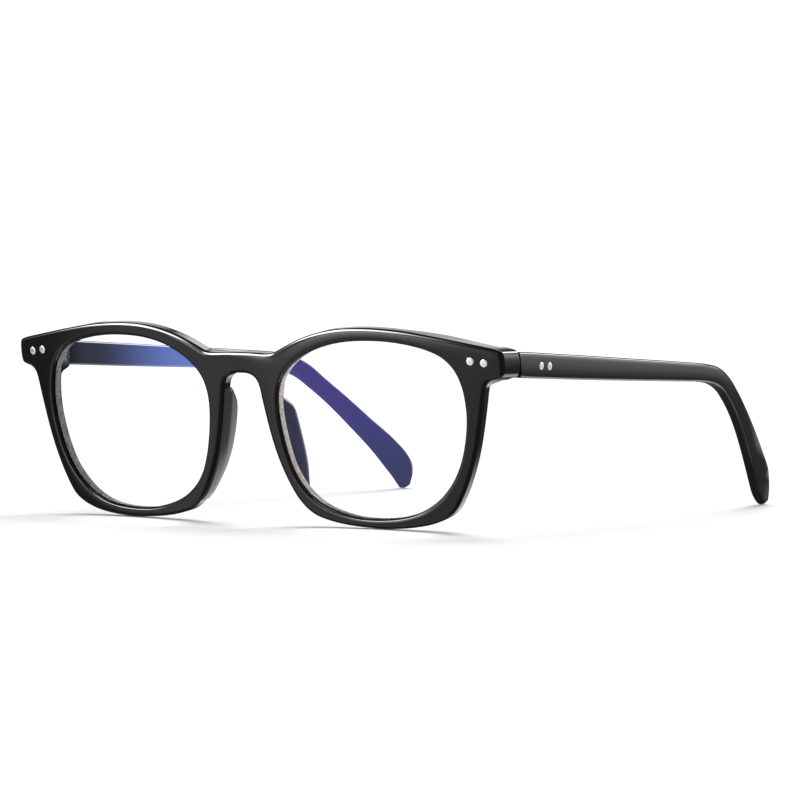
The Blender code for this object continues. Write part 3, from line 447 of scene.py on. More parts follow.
def spline(points, per_segment, closed=False):
    """Centripetal Catmull-Rom curve through points of any dimension."""
    points = [np.array(p, float) for p in points]
    count = len(points)

    def blend(first, second, start, stop, at):
        return (stop - at) / (stop - start) * first + (at - start) / (stop - start) * second

    curve = []
    for i in range(count if closed else count - 1):
        here, ahead = points[i], points[(i + 1) % count]
        before = points[i - 1] if i or closed else 2 * here - ahead
        after = points[(i + 2) % count] if i + 2 < count or closed else 2 * ahead - here
        corners = [before, here, ahead, after]
        knots = [0.0]
        for first, second in zip(corners, corners[1:]):
            knots.append(knots[-1] + math.sqrt(np.linalg.norm(second - first)))
        for j in range(per_segment):
            at = knots[1] + (knots[2] - knots[1]) * j / per_segment
            level = corners
            for reach in (1, 2):
                level = [blend(level[k], level[k + 1], knots[k], knots[k + reach], at)
                         for k in range(len(level) - 1)]
            curve.append(blend(*level, knots[1], knots[2], at))
    if not closed:
        curve.append(points[-1])
    return np.array(curve)


def running_length(path):
    return np.concatenate([[0], np.cumsum(np.linalg.norm(np.diff(path, axis=0), axis=1))])


def pick(path, measure, at):
    """Points of a path where its running measure has the given values."""
    return np.stack([np.interp(at, measure, path[:, i]) for i in range(2)], axis=1)


def resample(loop, step):
    ends = np.vstack([loop, loop[:1]])
    length = running_length(ends)
    count = int(round(length[-1] / step))
    return pick(ends, length, np.linspace(0, length[-1], count, endpoint=False))


def offset(loop, distance):
    """Moves a loop sideways, to the left of its direction of travel."""
    before = loop - np.roll(loop, 1, axis=0)
    after = np.roll(loop, -1, axis=0) - loop
    normals = [np.stack([-edge[:, 1], edge[:, 0]], 1) / np.linalg.norm(edge, axis=1)[:, None]
               for edge in (before, after)]
    mean = normals[0] + normals[1]
    mean /= np.linalg.norm(mean, axis=1)[:, None]
    stretch = 1.0 / np.maximum(0.6, (mean * normals[0]).sum(1))
    return loop + mean * (distance * stretch)[:, None]


def smoothstep(value):
    value = np.clip(value, 0.0, 1.0)
    return value * value * (3 - 2 * value)


def rise(value, start, width):
    return smoothstep((value - start) / width)


def to_loop(points, loop):
    """Distance of each flat point to a closed loop."""
    edges = np.roll(loop, -1, axis=0) - loop
    size = (edges ** 2).sum(1)
    distance = np.empty(len(points))
    batch = 400
    for i in range(0, len(points), batch):
        away = points[i:i + batch, None, :] - loop[None]
        along = np.clip((away * edges).sum(2) / size, 0, 1)
        nearest = np.linalg.norm(away - along[..., None] * edges, axis=2).min(1)
        distance[i:i + batch] = nearest
    return distance


def within(points, loop):
    x, z = points[:, 0], points[:, 1]
    hit = np.zeros(len(points), bool)
    for (x1, z1), (x2, z2) in zip(np.roll(loop, 1, axis=0), loop):
        cross = (z1 > z) != (z2 > z)
        with np.errstate(divide="ignore", invalid="ignore"):
            hit ^= cross & (x < x1 + (z - z1) / (z2 - z1) * (x2 - x1))
    return hit


def in_face(points, outer, holes):
    inside = within(points, outer)
    for hole in holes:
        inside &= ~within(points, hole)
    return inside


# ------------------------------------------------------------------ meshes


def moved(x, y, z):
    return Matrix.Translation(Vector((x, y, z)) * MM)


def rotation(angle, axis):
    return Matrix.Rotation(angle, 4, axis)


def add_ring(points, ring):
    start = len(points)
    points.extend(ring)
    return range(start, len(points))


def bridge(faces, rings):
    """Quads between each ring and the next."""
    for first, second in zip(rings, rings[1:]):
        for i in range(len(first)):
            j = (i + 1) % len(first)
            faces.append((first[i], first[j], second[j], second[i]))


def raw_object(name, points, faces, groups=None):
    """Object from points in layout mm; groups gives each face's material index."""
    mesh = bpy.data.meshes.new(name)
    obj = bpy.data.objects.new(name, mesh)
    bpy.context.scene.collection.objects.link(obj)
    mesh.from_pydata([tuple(c * MM for c in p) for p in points], [], faces)
    if groups is not None:
        mesh.polygons.foreach_set("material_index", groups)
    work = bmesh.new()
    work.from_mesh(mesh)
    bmesh.ops.recalc_face_normals(work, faces=work.faces)
    work.to_mesh(mesh)
    work.free()
    return obj


def capped_tube(name, sections):
    points, faces = [], []
    rings = [add_ring(points, section) for section in sections]
    bridge(faces, rings)
    faces.append(tuple(rings[0]))
    faces.append(tuple(rings[-1][::-1]))
    return raw_object(name, points, faces)


def from_bmesh(name, work, matrix):
    bmesh.ops.recalc_face_normals(work, faces=work.faces)
    mesh = bpy.data.meshes.new(name)
    work.to_mesh(mesh)
    work.free()
    mesh.transform(matrix)
    obj = bpy.data.objects.new(name, mesh)
    bpy.context.scene.collection.objects.link(obj)
    return obj


def side_box(name, side, corners, matrix):
    """Box between two corners given for +x, mirrored in x when side is -1."""
    spans = list(zip(*corners))
    spans[0] = sorted(side * x for x in spans[0])
    work = bmesh.new()
    bmesh.ops.create_cube(work, size=1.0)
    for vert in work.verts:
        vert.co = Vector([(low + high) / 2 + vert.co[i] * (high - low)
                          for i, (low, high) in enumerate(spans)]) * MM
    return from_bmesh(name, work, matrix)


def turned(name, profile, matrix):
    """Solid of revolution from (radius, z)."""
    work = bmesh.new()
    verts = [work.verts.new((radius * MM, 0, z * MM)) for radius, z in profile]
    edges = [work.edges.new(pair) for pair in zip(verts, verts[1:])]
    bmesh.ops.spin(work, geom=verts + edges, cent=(0, 0, 0), axis=(0, 0, 1), angle=math.tau,
                   steps=TURN_SEGMENTS, use_merge=True)
    bmesh.ops.remove_doubles(work, verts=work.verts, dist=1e-8)
    return from_bmesh(name, work, matrix)


def cut_all(obj, cutters):
    """Cuts the cutters out of the object for good, then deletes them."""
    for i, cutter in enumerate(cutters):
        modifier = obj.modifiers.new(f"cut_{i}", "BOOLEAN")
        modifier.operation = "DIFFERENCE"
        modifier.solver = "EXACT"
        modifier.object = cutter
    bpy.context.view_layer.update()
    graph = bpy.context.evaluated_depsgraph_get()
    mesh = bpy.data.meshes.new_from_object(obj.evaluated_get(graph))
    obj.modifiers.clear()
    obj.data = mesh
    for cutter in cutters:
        bpy.data.objects.remove(cutter, do_unlink=True)


def finish_piece(obj, body, materials, stands_for, smooth_deg=32, weighted=True):
    mesh = obj.data
    mesh.transform(SHIFT)
    kinds = [min(p.material_index, len(materials) - 1) for p in mesh.polygons]
    mesh.materials.clear()
    for mat in materials:
        mesh.materials.append(mat)
    mesh.polygons.foreach_set("material_index", kinds)
    mesh.shade_smooth()
    mesh.set_sharp_from_angle(angle=math.radians(smooth_deg))
    if weighted:
        modifier = obj.modifiers.new("normals", "WEIGHTED_NORMAL")
        modifier.keep_sharp = True
        modifier.weight = 60
    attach(obj, body)
    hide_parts(stands_for)


# ------------------------------------------------------------------ form of the front


def end_height(z):
    """1 at the height of the end pieces, 0 below them."""
    return rise(z, start=-6.9, width=2.0)


def ramp(x, z):
    """Length over which the front turns into the end piece, longer along the brow."""
    brow_lean, brow_x = 0.10, 36.0
    return END_RAMP + BROW_RAMP * rise(z + brow_lean * (np.abs(x) - brow_x), start=3.9, width=1.9)


def end_blend(x, z):
    length = ramp(x, z)
    return rise(np.abs(x), END_FROM - length, length) * end_height(z)


def on_front(x, z, depth):
    """Flat place and depth to layout x, y, z on the tilted, wrapped front."""
    share = end_blend(x, z)
    return np.stack([x - CURVE * x * (1 - share) * depth,
                     0.5 * CURVE * x * x - z * TAN + depth,
                     z + TAN * (1 - share) * depth], -1)


def back_depth(x, z):
    seam = SEAM_Y - BUTT_GAP - 0.5 * CURVE * x * x
    seat = seam + BUTT_GAP + SEAT_Y + SEAT_COVER
    length = ramp(x, z)
    to_seat = rise(np.abs(x), END_FROM - length, length - 2.0) * end_height(z)
    to_seam = rise(np.abs(x), start=61.5, width=2.0) * end_height(z)
    return (FRONT_THICK * (1 - to_seat) + seat * to_seat) * (1 - to_seam) + seam * to_seam


def opening_loop(side):
    loop = resample(spline(OPENING, 14, closed=True), 0.35)
    for _ in range(12):   # takes the small kinks out
        loop = loop * 0.5 + (np.roll(loop, 1, axis=0) + np.roll(loop, -1, axis=0)) * 0.25
    # Mirrored loops are reversed so that both run the same way round.
    return (resample(loop, LOOP_STEP) * (side, 1))[::side]


def outline_loop():
    """Whole outline; points are closer where it turns."""
    half = OUTLINE_TOP + OUTLINE_END + OUTLINE_LOW
    before = [(-x, z) for x, z in half[3:0:-1]]
    after = [(-x, z) for x, z in half[-2:-5:-1]]
    curve = spline(before + half + after, 14)
    first, last = np.flatnonzero(curve[:, 0] >= -1e-9)[[0, -1]]
    right = curve[first:last + 1]
    right[0, 0] = right[-1, 0] = 0.0
    for _ in range(10):
        right[1:-1] = right[1:-1] * 0.5 + (right[:-2] + right[2:]) * 0.25
    length = running_length(right)
    edges = np.diff(right, axis=0)
    turn = np.zeros(len(right))
    turn[1:-1] = np.abs(np.diff(np.unwrap(np.arctan2(edges[:, 1], edges[:, 0]))))
    weights = np.diff(length) / LOOP_STEP + 0.5 * (turn[1:] + turn[:-1]) / TURN_STEP
    measure = np.concatenate([[0], np.cumsum(weights)])
    count = int(round(measure[-1]))
    right = pick(right, measure, np.linspace(0, measure[-1], count + 1))
    return np.vstack([right, right[1:-1][::-1] * (-1, 1)])


OUTLINE = outline_loop()


def fall(slopes):
    """Function giving depth below the flat face at a distance from an edge."""
    at = np.array([row[0] for row in slopes], float)
    fine = np.linspace(0.0, at[-1], 600)
    slope = np.interp(fine, at, [row[1] for row in slopes])
    drops = np.tan(np.radians((slope[1:] + slope[:-1]) / 2)) * np.diff(fine)
    depth = np.concatenate([np.cumsum(drops[::-1])[::-1], [0.0]])
    return lambda distance: np.interp(distance, fine, depth)


outer_fall, inner_fall = fall(OUTER_SLOPES), fall(INNER_SLOPES)


def face_points(outer, holes):
    """Points inside a face: rows beside each border, sparser further in, then a grid."""
    loops = (outer, *holes)
    rows = []
    for loop, way in zip(loops, (-1, 1, 1)):
        rows += [offset(loop, way * gap) for gap in (0.18, 0.42, 0.75)]
        rows += [offset(loop, way * gap)[1::2] for gap in (1.25, 1.9, 2.6)]
    grid_x, grid_z = np.meshgrid(np.arange(-70.5, 70.6, 1.3), np.arange(-39.5, 6.6, 1.3))
    grid = np.stack([grid_x.ravel(), grid_z.ravel()], 1)
    kept = []
    cells = {}   # kept points by whole-mm cell

    def cell_of(point):
        return int(math.floor(point[0])), int(math.floor(point[1]))

    def is_free(point, gap):
        column, row = cell_of(point)
        for i in range(column - 1, column + 2):
            for j in range(row - 1, row + 2):
                for other in cells.get((i, j), ()):
                    if (point[0] - other[0]) ** 2 + (point[1] - other[1]) ** 2 < gap * gap:
                        return False
        return True

    # candidates, least gap between points, least distance to a border
    for points, gap, border in [(row, 0.2, 0.14) for row in rows] + [(grid, 0.75, 0.55)]:
        nearest = np.min([to_loop(points, loop) for loop in loops], axis=0)
        for point in points[in_face(points, outer, holes) & (nearest > border)]:
            if is_free(point, gap):
                kept.append(point)
                cells.setdefault(cell_of(point), []).append(point)
    return np.array(kept)


def face_triangles(outer, holes, extra):
    points, edges = [], []
    for loop in (outer, *holes):
        base = len(points)
        points += [Vector(p) for p in loop]
        edges += [(base + i, base + (i + 1) % len(loop)) for i in range(len(loop))]
    points += [Vector(p) for p in extra]
    verts, _, triangles, origins, _, _ = delaunay_2d_cdt(points, edges, [], 0, 1e-7)
    index = [origin[0] for origin in origins]
    centres = np.array([[sum(verts[i][k] for i in triangle) / 3 for k in (0, 1)]
                        for triangle in triangles])
    inside = in_face(centres, outer, holes)
    return [tuple(index[i] for i in triangle) for triangle, good in zip(triangles, inside) if good]


def rounded(loop, back, radius, way, steps):
    """Rows round a back edge, from the wall to the back face."""
    rows = []
    for k in range(steps, -1, -1):
        angle = math.pi / 2 * k / steps
        rows.append((offset(loop, way * radius * (1 - math.sin(angle))),
                     back - radius * (1 - math.cos(angle))))
    return rows


def build_front():
    outer = OUTLINE
    holes = [opening_loop(1), opening_loop(-1)]
    points, faces = [], []
    front_loops, back_loops = [], []

    def front_depth(flat):
        near = np.minimum(to_loop(flat, holes[0]), to_loop(flat, holes[1]))
        return outer_fall(to_loop(flat, outer)) + inner_fall(near)

    def add_flat(flat, depth):
        return add_ring(points, on_front(flat[:, 0], flat[:, 1], depth))

    def add_wall(rows):
        rings = [add_flat(flat, depth) for flat, depth in rows]
        bridge(faces, rings)
        front_loops.append((rows[0][0], rings[0]))
        back_loops.append((rows[-1][0], rings[-1]))

    def edge_rows(loop, way, gaps):
        flats = [offset(loop, way * gap) for gap in gaps[::-1]]
        return [(flat, front_depth(flat)) for flat in flats]

    # Outer wall. Its back edge is nearly sharp where an end piece meets the temple.
    back = back_depth(outer[:, 0], outer[:, 1])
    butt = end_height(outer[:, 1]) * rise(np.abs(outer[:, 0]), start=60.0, width=3.0)
    radius = BACK_ROUND * (1 - butt) + BUTT_ROUND * butt
    rows = edge_rows(outer, -1, OUTER_ROWS)
    rows.append((outer, rows[-1][1] + WALL_STEP))
    rows.append((outer, back - radius - WALL_STEP))
    add_wall(rows + rounded(outer, back, radius, way=-1, steps=6))

    # Lens openings, with a V groove.
    groove_front, groove_back = GROOVE_AT - GROOVE_HALF, GROOVE_AT + GROOVE_HALF
    least = 0.02   # least wall beside the groove
    for hole in holes:
        back = back_depth(hole[:, 0], hole[:, 1])
        rows = edge_rows(hole, 1, INNER_ROWS)
        rows.append((hole, np.maximum(rows[-1][1] + least, groove_front)))
        rows.append((offset(hole, GROOVE_DEPTH), GROOVE_AT))
        rows.append((hole, groove_back))
        rows.append((hole, np.maximum(back - OPENING_ROUND, groove_back + least)))
        add_wall(rows + rounded(hole, back, OPENING_ROUND, way=1, steps=5)[1:])

    def flat_back(flat):
        return back_depth(flat[:, 0], flat[:, 1])

    for loops, depth_of in ((front_loops, front_depth), (back_loops, flat_back)):
        flats = [flat for flat, _ in loops]
        extra = face_points(flats[0], flats[1:])
        index = [i for _, ring in loops for i in ring]
        index += add_flat(extra, depth_of(extra))
        for triangle in face_triangles(flats[0], flats[1:], extra):
            faces.append(tuple(index[i] for i in triangle))
    return raw_object("acetate_front", points, faces)


# ------------------------------------------------------------------ rivets


def rivet_hole(place, radius, depth):
    """Cutter for a rivet, leaving a ring round the head; its mouth flares a little."""
    bore = radius + RING
    shank = SHANK + SHANK_GAP
    shoulder = HEAD_LENGTH + SHANK_GAP
    flare = bore + 0.05
    return turned("hole", [(0, -1), (flare, -1), (flare, 0.02), (bore, 0.08), (bore, shoulder),
                           (shank, shoulder), (shank, depth), (0, depth)], place)


def fit_rivet(part, name, body, place, radius, length, hole_depth):
    """Adds a rivet with a slightly domed head and returns the cutter for its hole."""
    hole = rivet_hole(place, radius, hole_depth)
    flat = radius - HEAD_ROUND
    profile = []
    for k in range(9):
        reach = flat * k / 8
        profile.append((reach, -HEAD_SINK - HEAD_DOME * (1 - (reach / radius) ** 2)))
    edge = profile[-1][1]
    for k in range(1, 5):
        angle = math.pi / 2 * k / 4
        profile.append((flat + HEAD_ROUND * math.sin(angle),
                        edge + HEAD_ROUND * (1 - math.cos(angle))))
    profile += [(radius, HEAD_LENGTH), (SHANK, HEAD_LENGTH), (SHANK, length), (0, length)]
    obj = turned(f"rivet_{part}_{name}", profile, place)
    to_rivet = place.inverted()
    # The middle of the head keeps the polished metal; the rest takes the painted highlight copy.
    for face in obj.data.polygons:
        local = to_rivet @ face.center
        central = math.hypot(local.x, local.y) < MIDDLE_SHARE * radius * MM
        face.material_index = int(central and local.z < 0.2 * MM)
    finish_piece(obj, body, [RIVET_RIM_PAINTED_HIGHLIGHT, RIVET_MIDDLE],
                 f"{part}_rivet_{name}", smooth_deg=40)
    return hole


# ------------------------------------------------------------------ front with its hinge seats

front = build_front()
cutters = []
for side, word in SIDES:
    hinge = moved(side * HINGE_X, SEAM_Y - HINGE_Z * TAN, HINGE_Z) @ rotation(TILT, "X")
    cutters.append(side_box("seat", side, SEAT_BOX, hinge))
    for which, x, z in FRONT_RIVETS:
        turn = rotation(TILT, "X") @ rotation(-math.pi / 2, "X")
        swing = rotation(math.atan(CURVE * side * x), "Z")
        place = moved(*on_front(side * x, z, 0.0)) @ swing @ turn
        cutters.append(fit_rivet("front", f"{which}_{word}", "front", place, **FRONT_RIVET))
cut_all(front, cutters)
finish_piece(front, "front", [ACETATE], "front_frame")

# ------------------------------------------------------------------ lenses


def build_lens(side, word):
    hole = opening_loop(side)
    centre = hole.mean(axis=0)
    base = offset(hole, -LENS_GAP)
    front_at, back_at = GROOVE_AT - LENS_HALF, GROOVE_AT + LENS_HALF

    def dish(depth, shares):
        return [(centre + (base - centre) * share, depth - LENS_BULGE * (1 - share * share), 0)
                for share in shares]

    # Rows as (flat loop, depth, material): front surface, broken edge, V edge, back surface.
    rows = dish(front_at, LENS_ROWS)
    rows += [(offset(hole, -LENS_GAP - BREAK_IN), front_at - BREAK_RISE, 0),
             (base, front_at + BREAK_DROP, 1),
             (offset(hole, GROOVE_DEPTH - TIP_GAP), GROOVE_AT, 1),
             (base, back_at, 1)]
    rows += dish(back_at, LENS_ROWS[::-1])
    points, faces = [], []
    rings = [add_ring(points, on_front(flat[:, 0], flat[:, 1], depth)) for flat, depth, _ in rows]
    bridge(faces, rings)
    groups = [kind for _, _, kind in rows[1:] for _ in hole]
    for ring, depth in ((rings[0], front_at), (rings[-1], back_at)):
        middle = len(points)
        points.append(on_front(centre[0], centre[1], depth - LENS_BULGE))
        for i in range(len(ring)):
            faces.append((ring[i], ring[(i + 1) % len(ring)], middle))
            groups.append(0)
    obj = raw_object(f"coated_lens_{word}", points, faces, groups)
    flat = np.array([(v.co.x, v.co.z) for v in obj.data.vertices]) / MM
    away = np.where(within(flat, hole), to_loop(flat, hole), 0.0)
    inset = obj.data.attributes.new("inset", "FLOAT", "POINT")
    inset.data.foreach_set("value", away.astype(np.float32))
    materials = [LENS_LEFT, EDGE_LEFT] if side > 0 else [LENS_RIGHT, EDGE_RIGHT_SHADED]
    finish_piece(obj, "front", materials, f"lens_{word}",
                 smooth_deg=25, weighted=False)


# ------------------------------------------------------------------ nose pads


def nasal_curve():
    """Nose side of the outline at +x, from low to high."""
    x, z = OUTLINE.T
    loop = OUTLINE[(x > 3.0) & (x < 21.0) & (z < -5.0)]
    return loop[np.argsort(loop[:, 1])]


def build_pad(side, word):
    back = FRONT_THICK + PAD_GAP
    nasal = nasal_curve()
    rows = spline(PAD_ROWS, 5)
    rows[:, 1] = np.clip(rows[:, 1], 0.0, 1.0)
    sections = []
    for z, swell in rows:
        wall = float(np.interp(z, nasal[:, 1], nasal[:, 0]))
        reach = PAD_REACH_MIN + PAD_REACH * swell
        lean = PAD_LEAN * swell
        width = PAD_WIDTH_MIN + PAD_WIDTH * swell
        fade = min(1.0, (PAD_ROWS[0][0] - z) / PAD_FADE_TOP + PAD_FADE_MIN,
                   (z - PAD_ROWS[-1][0]) / PAD_FADE_LOW + PAD_FADE_MIN)
        skin = wall - PAD_GAP - PAD_FLANGE * fade
        # The flange lies against the nose side of the front, the rest stands behind it.
        shape = [(wall - PAD_GAP, PAD_FRONT), (skin + 0.04, PAD_FRONT + 0.2),
                 (skin, PAD_FRONT + 0.7), (skin, back - 0.2)]
        shape += [(skin + fixed + by_width * width + by_lean * lean, back + by_reach * reach)
                  for fixed, by_width, by_lean, by_reach in PAD_SECTION]
        section = np.vstack([spline(shape, 4), [(wall - PAD_GAP, back)]])
        sections.append(on_front(side * section[:, 0], z, section[:, 1]))
    obj = capped_tube(f"bonded_nose_pad_{word}", sections)
    finish_piece(obj, "front", [PAD_ACETATE], f"nose_pad_{word}", smooth_deg=40)


# ------------------------------------------------------------------ temples


def outer_x(y, bend=0.0):
    return TEMPLE_OUTER_X - TEMPLE_SLOPE * (y - TEMPLE_Y) - bend


def temple_section(side, row):
    """Rounded section with slightly convex sides, across a row laid out like a station."""
    low_y, low_z, high_y, high_z, thick, bend = row
    height = math.hypot(high_y - low_y, high_z - low_z)
    edge = min(TEMPLE_EDGE, 0.34 * height, 0.34 * thick)
    round_u, round_v = edge / thick, edge / height
    # u goes from the outer to the inner side, v from the lower to the upper edge.
    shape = []
    for u, v, start, way in ((round_u, round_v, 180, 1), (1 - round_u, round_v, 270, 1),
                             (1 - round_u, 1 - round_v, 0, -1), (round_u, 1 - round_v, 90, -1)):
        for k in range(6):
            angle = math.radians(start + 90 * k / 5)
            shape.append((u + round_u * math.cos(angle), v + round_v * math.sin(angle)))
        if start in (180, 0):
            shape += [(u + (1 - 2 * round_u) * k / 4 * way, 0.0 if way > 0 else 1.0)
                      for k in range(1, 4)]
        else:
            shape += [(1.0 if way > 0 else 0.0, v + (1 - 2 * round_v) * k / 8 * way)
                      for k in range(1, 8)]
    section = []
    swell = TEMPLE_CROWN * min(1.0, height / FULL_HEIGHT)
    for u, v in shape:
        bow = swell * (1 - (2 * v - 1) ** 2)
        y, z = low_y + (high_y - low_y) * v, low_z + (high_z - low_z) * v
        x = outer_x(y, bend) - thick * u + (bow - swell) * (1 - 2 * u)
        section.append((side * x, y, z))
    return section


def temple_rows():
    """Rows from the butt end to the rounded tip, with the columns of STATIONS."""
    seam = SEAM_Y + BUTT_GAP
    butt = (seam - BUTT_LOW * TAN, BUTT_LOW, seam - BUTT_TOP * TAN, BUTT_TOP, TEMPLE_THICK, 0.0)
    per = 16
    curve = spline([butt] + STATIONS, per)
    rows = []
    for i, count in enumerate(STATION_STEPS):
        segment = curve[i * per:(i + 1) * per + 1]
        for k in range(count):
            at = k / count * per
            rows.append([np.interp(at, np.arange(per + 1), segment[:, c]) for c in range(6)])
    rows.append(list(curve[-1]))
    for row in rows:
        row[5] = max(0.0, row[5])
    low, high = np.array(STATIONS[-1][:2]), np.array(STATIONS[-1][2:4])
    thick, bend = STATIONS[-1][4:]
    middle = (low + high) / 2
    for k in range(1, 7):
        angle = math.pi / 2 * k / 6.6
        push, keep = TIP_LENGTH * math.sin(angle), math.cos(angle) ** 0.8
        ends = [middle + (end - middle) * keep + TIP_AHEAD * push for end in (low, high)]
        rows.append([*ends[0], *ends[1], thick * (0.45 + 0.55 * keep),
                     bend + thick * 0.275 * (1 - keep)])
    return rows


ROWS = temple_rows()


def edge_z(y, column):
    pairs = sorted((row[column], row[column + 1]) for row in ROWS[:60])
    return float(np.interp(y, [p[0] for p in pairs], [p[1] for p in pairs]))


def middle_z(y):
    return (edge_z(y, 2) + edge_z(y, 0)) / 2


def core_channel(side):
    points = []
    for y in (CORE_START, CORE_END + 0.5):
        z = middle_z(y)
        x = outer_x(y) - CORE_INSET
        points += [(side * (x + i * CHANNEL_W), y, z + j * CHANNEL_H)
                   for i, j in ((-1, -1), (1, -1), (1, 1), (-1, 1))]
    faces = [(0, 1, 2, 3), (7, 6, 5, 4), (0, 4, 5, 1), (1, 5, 6, 2), (2, 6, 7, 3), (3, 7, 4, 0)]
    return raw_object("channel", points, faces)


def build_temple(side, word):
    sections = [temple_section(side, row) for row in ROWS]
    # The butt end has a small break of its edges.
    middle = np.mean(sections[0], axis=0)
    small = []
    for point in sections[0]:
        away = np.array(point) - middle
        small.append(tuple(middle + away * (1 - BUTT_BREAK / max(0.5, np.linalg.norm(away)))))
    sections[0] = [(x, y + BUTT_BREAK, z) for x, y, z in sections[0]]
    obj = capped_tube(f"acetate_temple_{word}", [small] + sections)

    along = rotation(side * math.atan(TEMPLE_SLOPE), "Z")
    inner_at = outer_x(TEMPLE_Y) - TEMPLE_THICK
    drop = (middle_z(28.0) - middle_z(14.0)) / (28.0 - 14.0)
    corner = moved(side * (inner_at - TEMPLE_SLOPE * POCKET_INSET), POCKET_Y, HINGE_Z)
    seat = corner @ along @ rotation(math.atan(drop), "X")
    cutters = [side_box("pocket", side, POCKET_BOX, seat), side_box("neck", side, NECK_BOX, seat),
               core_channel(side)]
    body = f"temple_{word}_body"
    for which, back in TEMPLE_RIVETS:
        y = TEMPLE_Y + back
        place = moved(side * outer_x(y), y, middle_z(y)) @ along
        place = place @ rotation(-side * math.pi / 2, "Y")
        cutters.append(fit_rivet("temple", f"{which}_{word}", body, place, **TEMPLE_RIVET))
    cut_all(obj, cutters)
    finish_piece(obj, body, [TEMPLE_ACETATE], f"temple_{word}")


for side, word in SIDES:
    build_lens(side, word)
    build_pad(side, word)
    build_temple(side, word)

# ------------------------------------------------------------------ carried-over metal parts
METALS = {"hinge_leaf": NICKEL, "screw": STEEL, "core": CORE}
for name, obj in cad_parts.items():
    mat = next((METALS[key] for key in METALS if key in name), None)
    if mat is None or obj.hide_render:
        continue
    slots = obj.data.materials
    if not slots:
        slots.append(mat)
    for i in range(len(slots)):
        slots[i] = mat
    if "core" not in name:
        bevel = obj.modifiers.new("broken_edges", "BEVEL")
        bevel.width = 0.00005
        bevel.segments = 2
        bevel.limit_method = "ANGLE"
        bevel.angle_limit = math.radians(40)
        bevel.harden_normals = False

# ------------------------------------------------------------------ floor
paint = floor_paint()
disc = bmesh.new()
bmesh.ops.create_circle(disc, cap_ends=True, radius=6.0, segments=96)
floor = from_bmesh("floor", disc, Matrix.Translation((0, 0, cad_low.z - 0.00004)))
floor.data.materials.append(paint)
floor.visible_glossy = False

# ------------------------------------------------------------------ world
# Lights and cards that polished surfaces see, by direction in degrees. Azimuth 0 is the front
# (-y) and grows towards +x. Windows are (starts to rise, full, starts to fall, gone).
FACE_BANDS = [((-62.0, -45.0, -36.0, -27.0), 0.20), ((-58.0, -48.0, -4.0, 12.0), 0.48)]
FACE_BASE = 0.08
# Patches: azimuth window, elevation window, strength.
SOFT = (-39.0, -34.0, -28.0, -12.0), (-18.0, 4.0, 6.0, 12.0), 5.5
STRIP = (-84.0, -70.0, -34.0, -16.0), (26.0, 30.0, 49.0, 53.0), 26.0
FLANK = (-84.0, -66.0, -56.0, -46.0), (8.0, 16.0, 30.0, 38.0), 1.5
WALL = (-150.0, -146.0, -130.0, -122.0), (6.0, 9.0, 28.0, 36.0), 0.95
WALL_BAND = (-178.0, -170.0, -150.0, -140.0), (34.0, 38.0, 50.0, 58.0), 1.5
BACK_STRIP = (147.0, 153.0, 174.0, 179.0), (21.0, 25.0, 38.0, 41.0), 13.0
# Bands across the back: azimuth steps as (span, levels), elevation window, strength.
ABOVE = ([((-158.0, -146.0), FALL), ((172.0, 176.0), RISE)], (36.0, 42.0, 56.0, 66.0), 2.6)
CARD = ([((169.0, 177.0), RISE), ((-160.0, -150.0), FALL)], (-36.0, -28.0, -9.0, -4.0), 1.1)
ARCH = ([((150.0, 158.0), RISE), ((-168.0, -158.0), FALL)], (-54.0, -44.0, -26.0, -18.0), 1.6)
# Wall behind at +x: a base level, then elevation steps as (span, levels) added to it.
SIDE_BASE = 0.02
SIDE_STEPS = [((-14.0, -5.0), (0.0, 0.10)), ((-7.0, 1.0), (0.0, 0.75)),
              ((0.0, 10.0), (0.0, 3.2)), ((-36.0, -22.0), (0.9, 0.0))]
GLOSSY_BASE = 0.05
CAMERA_LEVEL, FILL_LEVEL = 1.2, 0.66   # seen by the camera; lighting everything else

world = bpy.data.worlds.new("studio")
bpy.context.scene.world = world
world.use_nodes = True
world.cycles.sampling_method = "NONE"
net = Nodes(world.node_tree)
to_x, to_y, to_z = net.split(net.add("TexCoord").outputs["Generated"])
degrees = 180.0 / math.pi
sine = net.math("MINIMUM", net.math("MAXIMUM", to_z, -1.0), 1.0)
elevation = net.product(net.math("ARCSINE", sine), degrees)
azimuth = net.product(net.math("ARCTAN2", to_x, net.product(to_y, -1.0)), degrees)


def patch(across, upwards, strength):
    area = net.product(net.window(azimuth, across), net.window(elevation, upwards))
    return net.product(area, strength)


def back_band(steps, upwards, strength):
    across = net.total(*[net.step(azimuth, span, levels) for span, levels in steps])
    return net.product(across, net.window(elevation, upwards), strength)


# In front, low: seen in the face of the front.
bands = [net.product(net.window(azimuth, edges), strength) for edges, strength in FACE_BANDS]
face = net.product(net.total(*bands, FACE_BASE),
                   net.step(elevation, span=(-50.0, -30.0), levels=(0.9, 1.0)),
                   net.step(elevation, span=(30.0, 38.0), levels=(1.0, 0.3)))
# In front: a soft light, a strip above it and a flank beside them.
soft, strip, flank = patch(*SOFT), patch(*STRIP), patch(*FLANK)
# Behind at -x: a pale wall with a band above it; a higher band goes across the back.
wall = net.total(patch(*WALL), patch(*WALL_BAND))
above = back_band(*ABOVE)
# Behind at +x: a wall that brightens upwards and a strip, seen in the sides of the temples.
brightness = net.total(SIDE_BASE, *[net.step(elevation, *entry) for entry in SIDE_STEPS])
side_wall = net.product(net.window(azimuth, (124.0, 132.0, 160.0, 172.0)),
                        net.step(azimuth, span=(139.0, 151.0)),
                        net.step(elevation, span=(12.0, 18.0), levels=(1.0, 0.05)), brightness)
back_strip = patch(*BACK_STRIP)
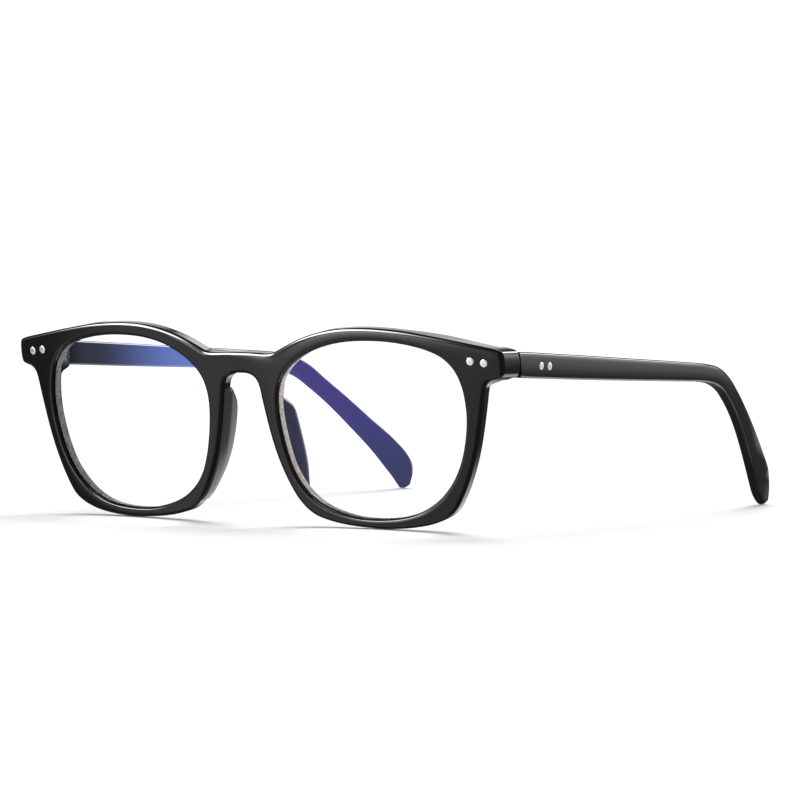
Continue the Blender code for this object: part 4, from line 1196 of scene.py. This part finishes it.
# Behind, low: seen in the side of a nose pad and in the arch over the nose.
card, arch = back_band(*CARD), back_band(*ARCH)
glossy = net.total(face, soft, strip, flank, wall, above, side_wall, back_strip, card, arch,
                   GLOSSY_BASE)
path = net.add("LightPath")
seen = net.product(path.outputs["Is Camera Ray"], CAMERA_LEVEL - FILL_LEVEL)
choice = net.add("Mix", data_type="FLOAT")
net.plug(choice, 0, path.outputs["Is Glossy Ray"])
net.plug(choice, 2, net.total(seen, FILL_LEVEL))
net.plug(choice, 3, glossy)
background = net.add("Background")
net.plug(background, "Strength", choice.outputs[0])
net.plug(background, "Color", (1, 1, 1, 1))
net.plug(net.add("OutputWorld"), "Surface", background.outputs[0])

# ------------------------------------------------------------------ lamp
TO_LAMP = (-0.26, 0.58, 0.77)   # direction of the light: behind and above
light = bpy.data.lights.new("rear_softbox", "SUN")
light.energy = 2.65
light.angle = math.radians(34)
lamp = bpy.data.objects.new("rear_softbox", light)
bpy.context.scene.collection.objects.link(lamp)
lamp.rotation_euler = Vector(TO_LAMP).to_track_quat("Z", "Y").to_euler()
lamp.visible_glossy = False
lamp.visible_camera = False

bpy.context.scene.view_settings.view_transform = "Standard"

# ------------------------------------------------------------------ camera
TURN, LIFT, ROLL = math.radians(36.112), math.radians(2.4136), math.radians(0.182)
DISTANCE, MOVE_RIGHT, MOVE_UP = 1231.633, 37.854, -11.092
backward = Vector((math.sin(TURN) * math.cos(LIFT), -math.cos(TURN) * math.cos(LIFT),
                   math.sin(LIFT)))
level_right = Vector((math.cos(TURN), math.sin(TURN), 0.0))
level_up = backward.cross(level_right)
right = level_right * math.cos(ROLL) + level_up * math.sin(ROLL)
upward = -level_right * math.sin(ROLL) + level_up * math.cos(ROLL)
camera = bpy.data.cameras.new("camera")
camera.sensor_width = 36.0
camera.lens = 239.20803
camera.shift_x = -0.000625
camera.shift_y = 0.000625
camera.clip_start = 0.05
camera.clip_end = 100.0
eye = bpy.data.objects.new("camera", camera)
bpy.context.scene.collection.objects.link(eye)
place = (backward * DISTANCE + right * MOVE_RIGHT + upward * MOVE_UP) * MM
axes = Matrix((right, upward, backward)).transposed().to_4x4()
eye.matrix_world = SHIFT @ Matrix.Translation(place) @ axes
bpy.context.scene.camera = eye

# ------------------------------------------------------------------ finish
bpy.context.view_layer.update()
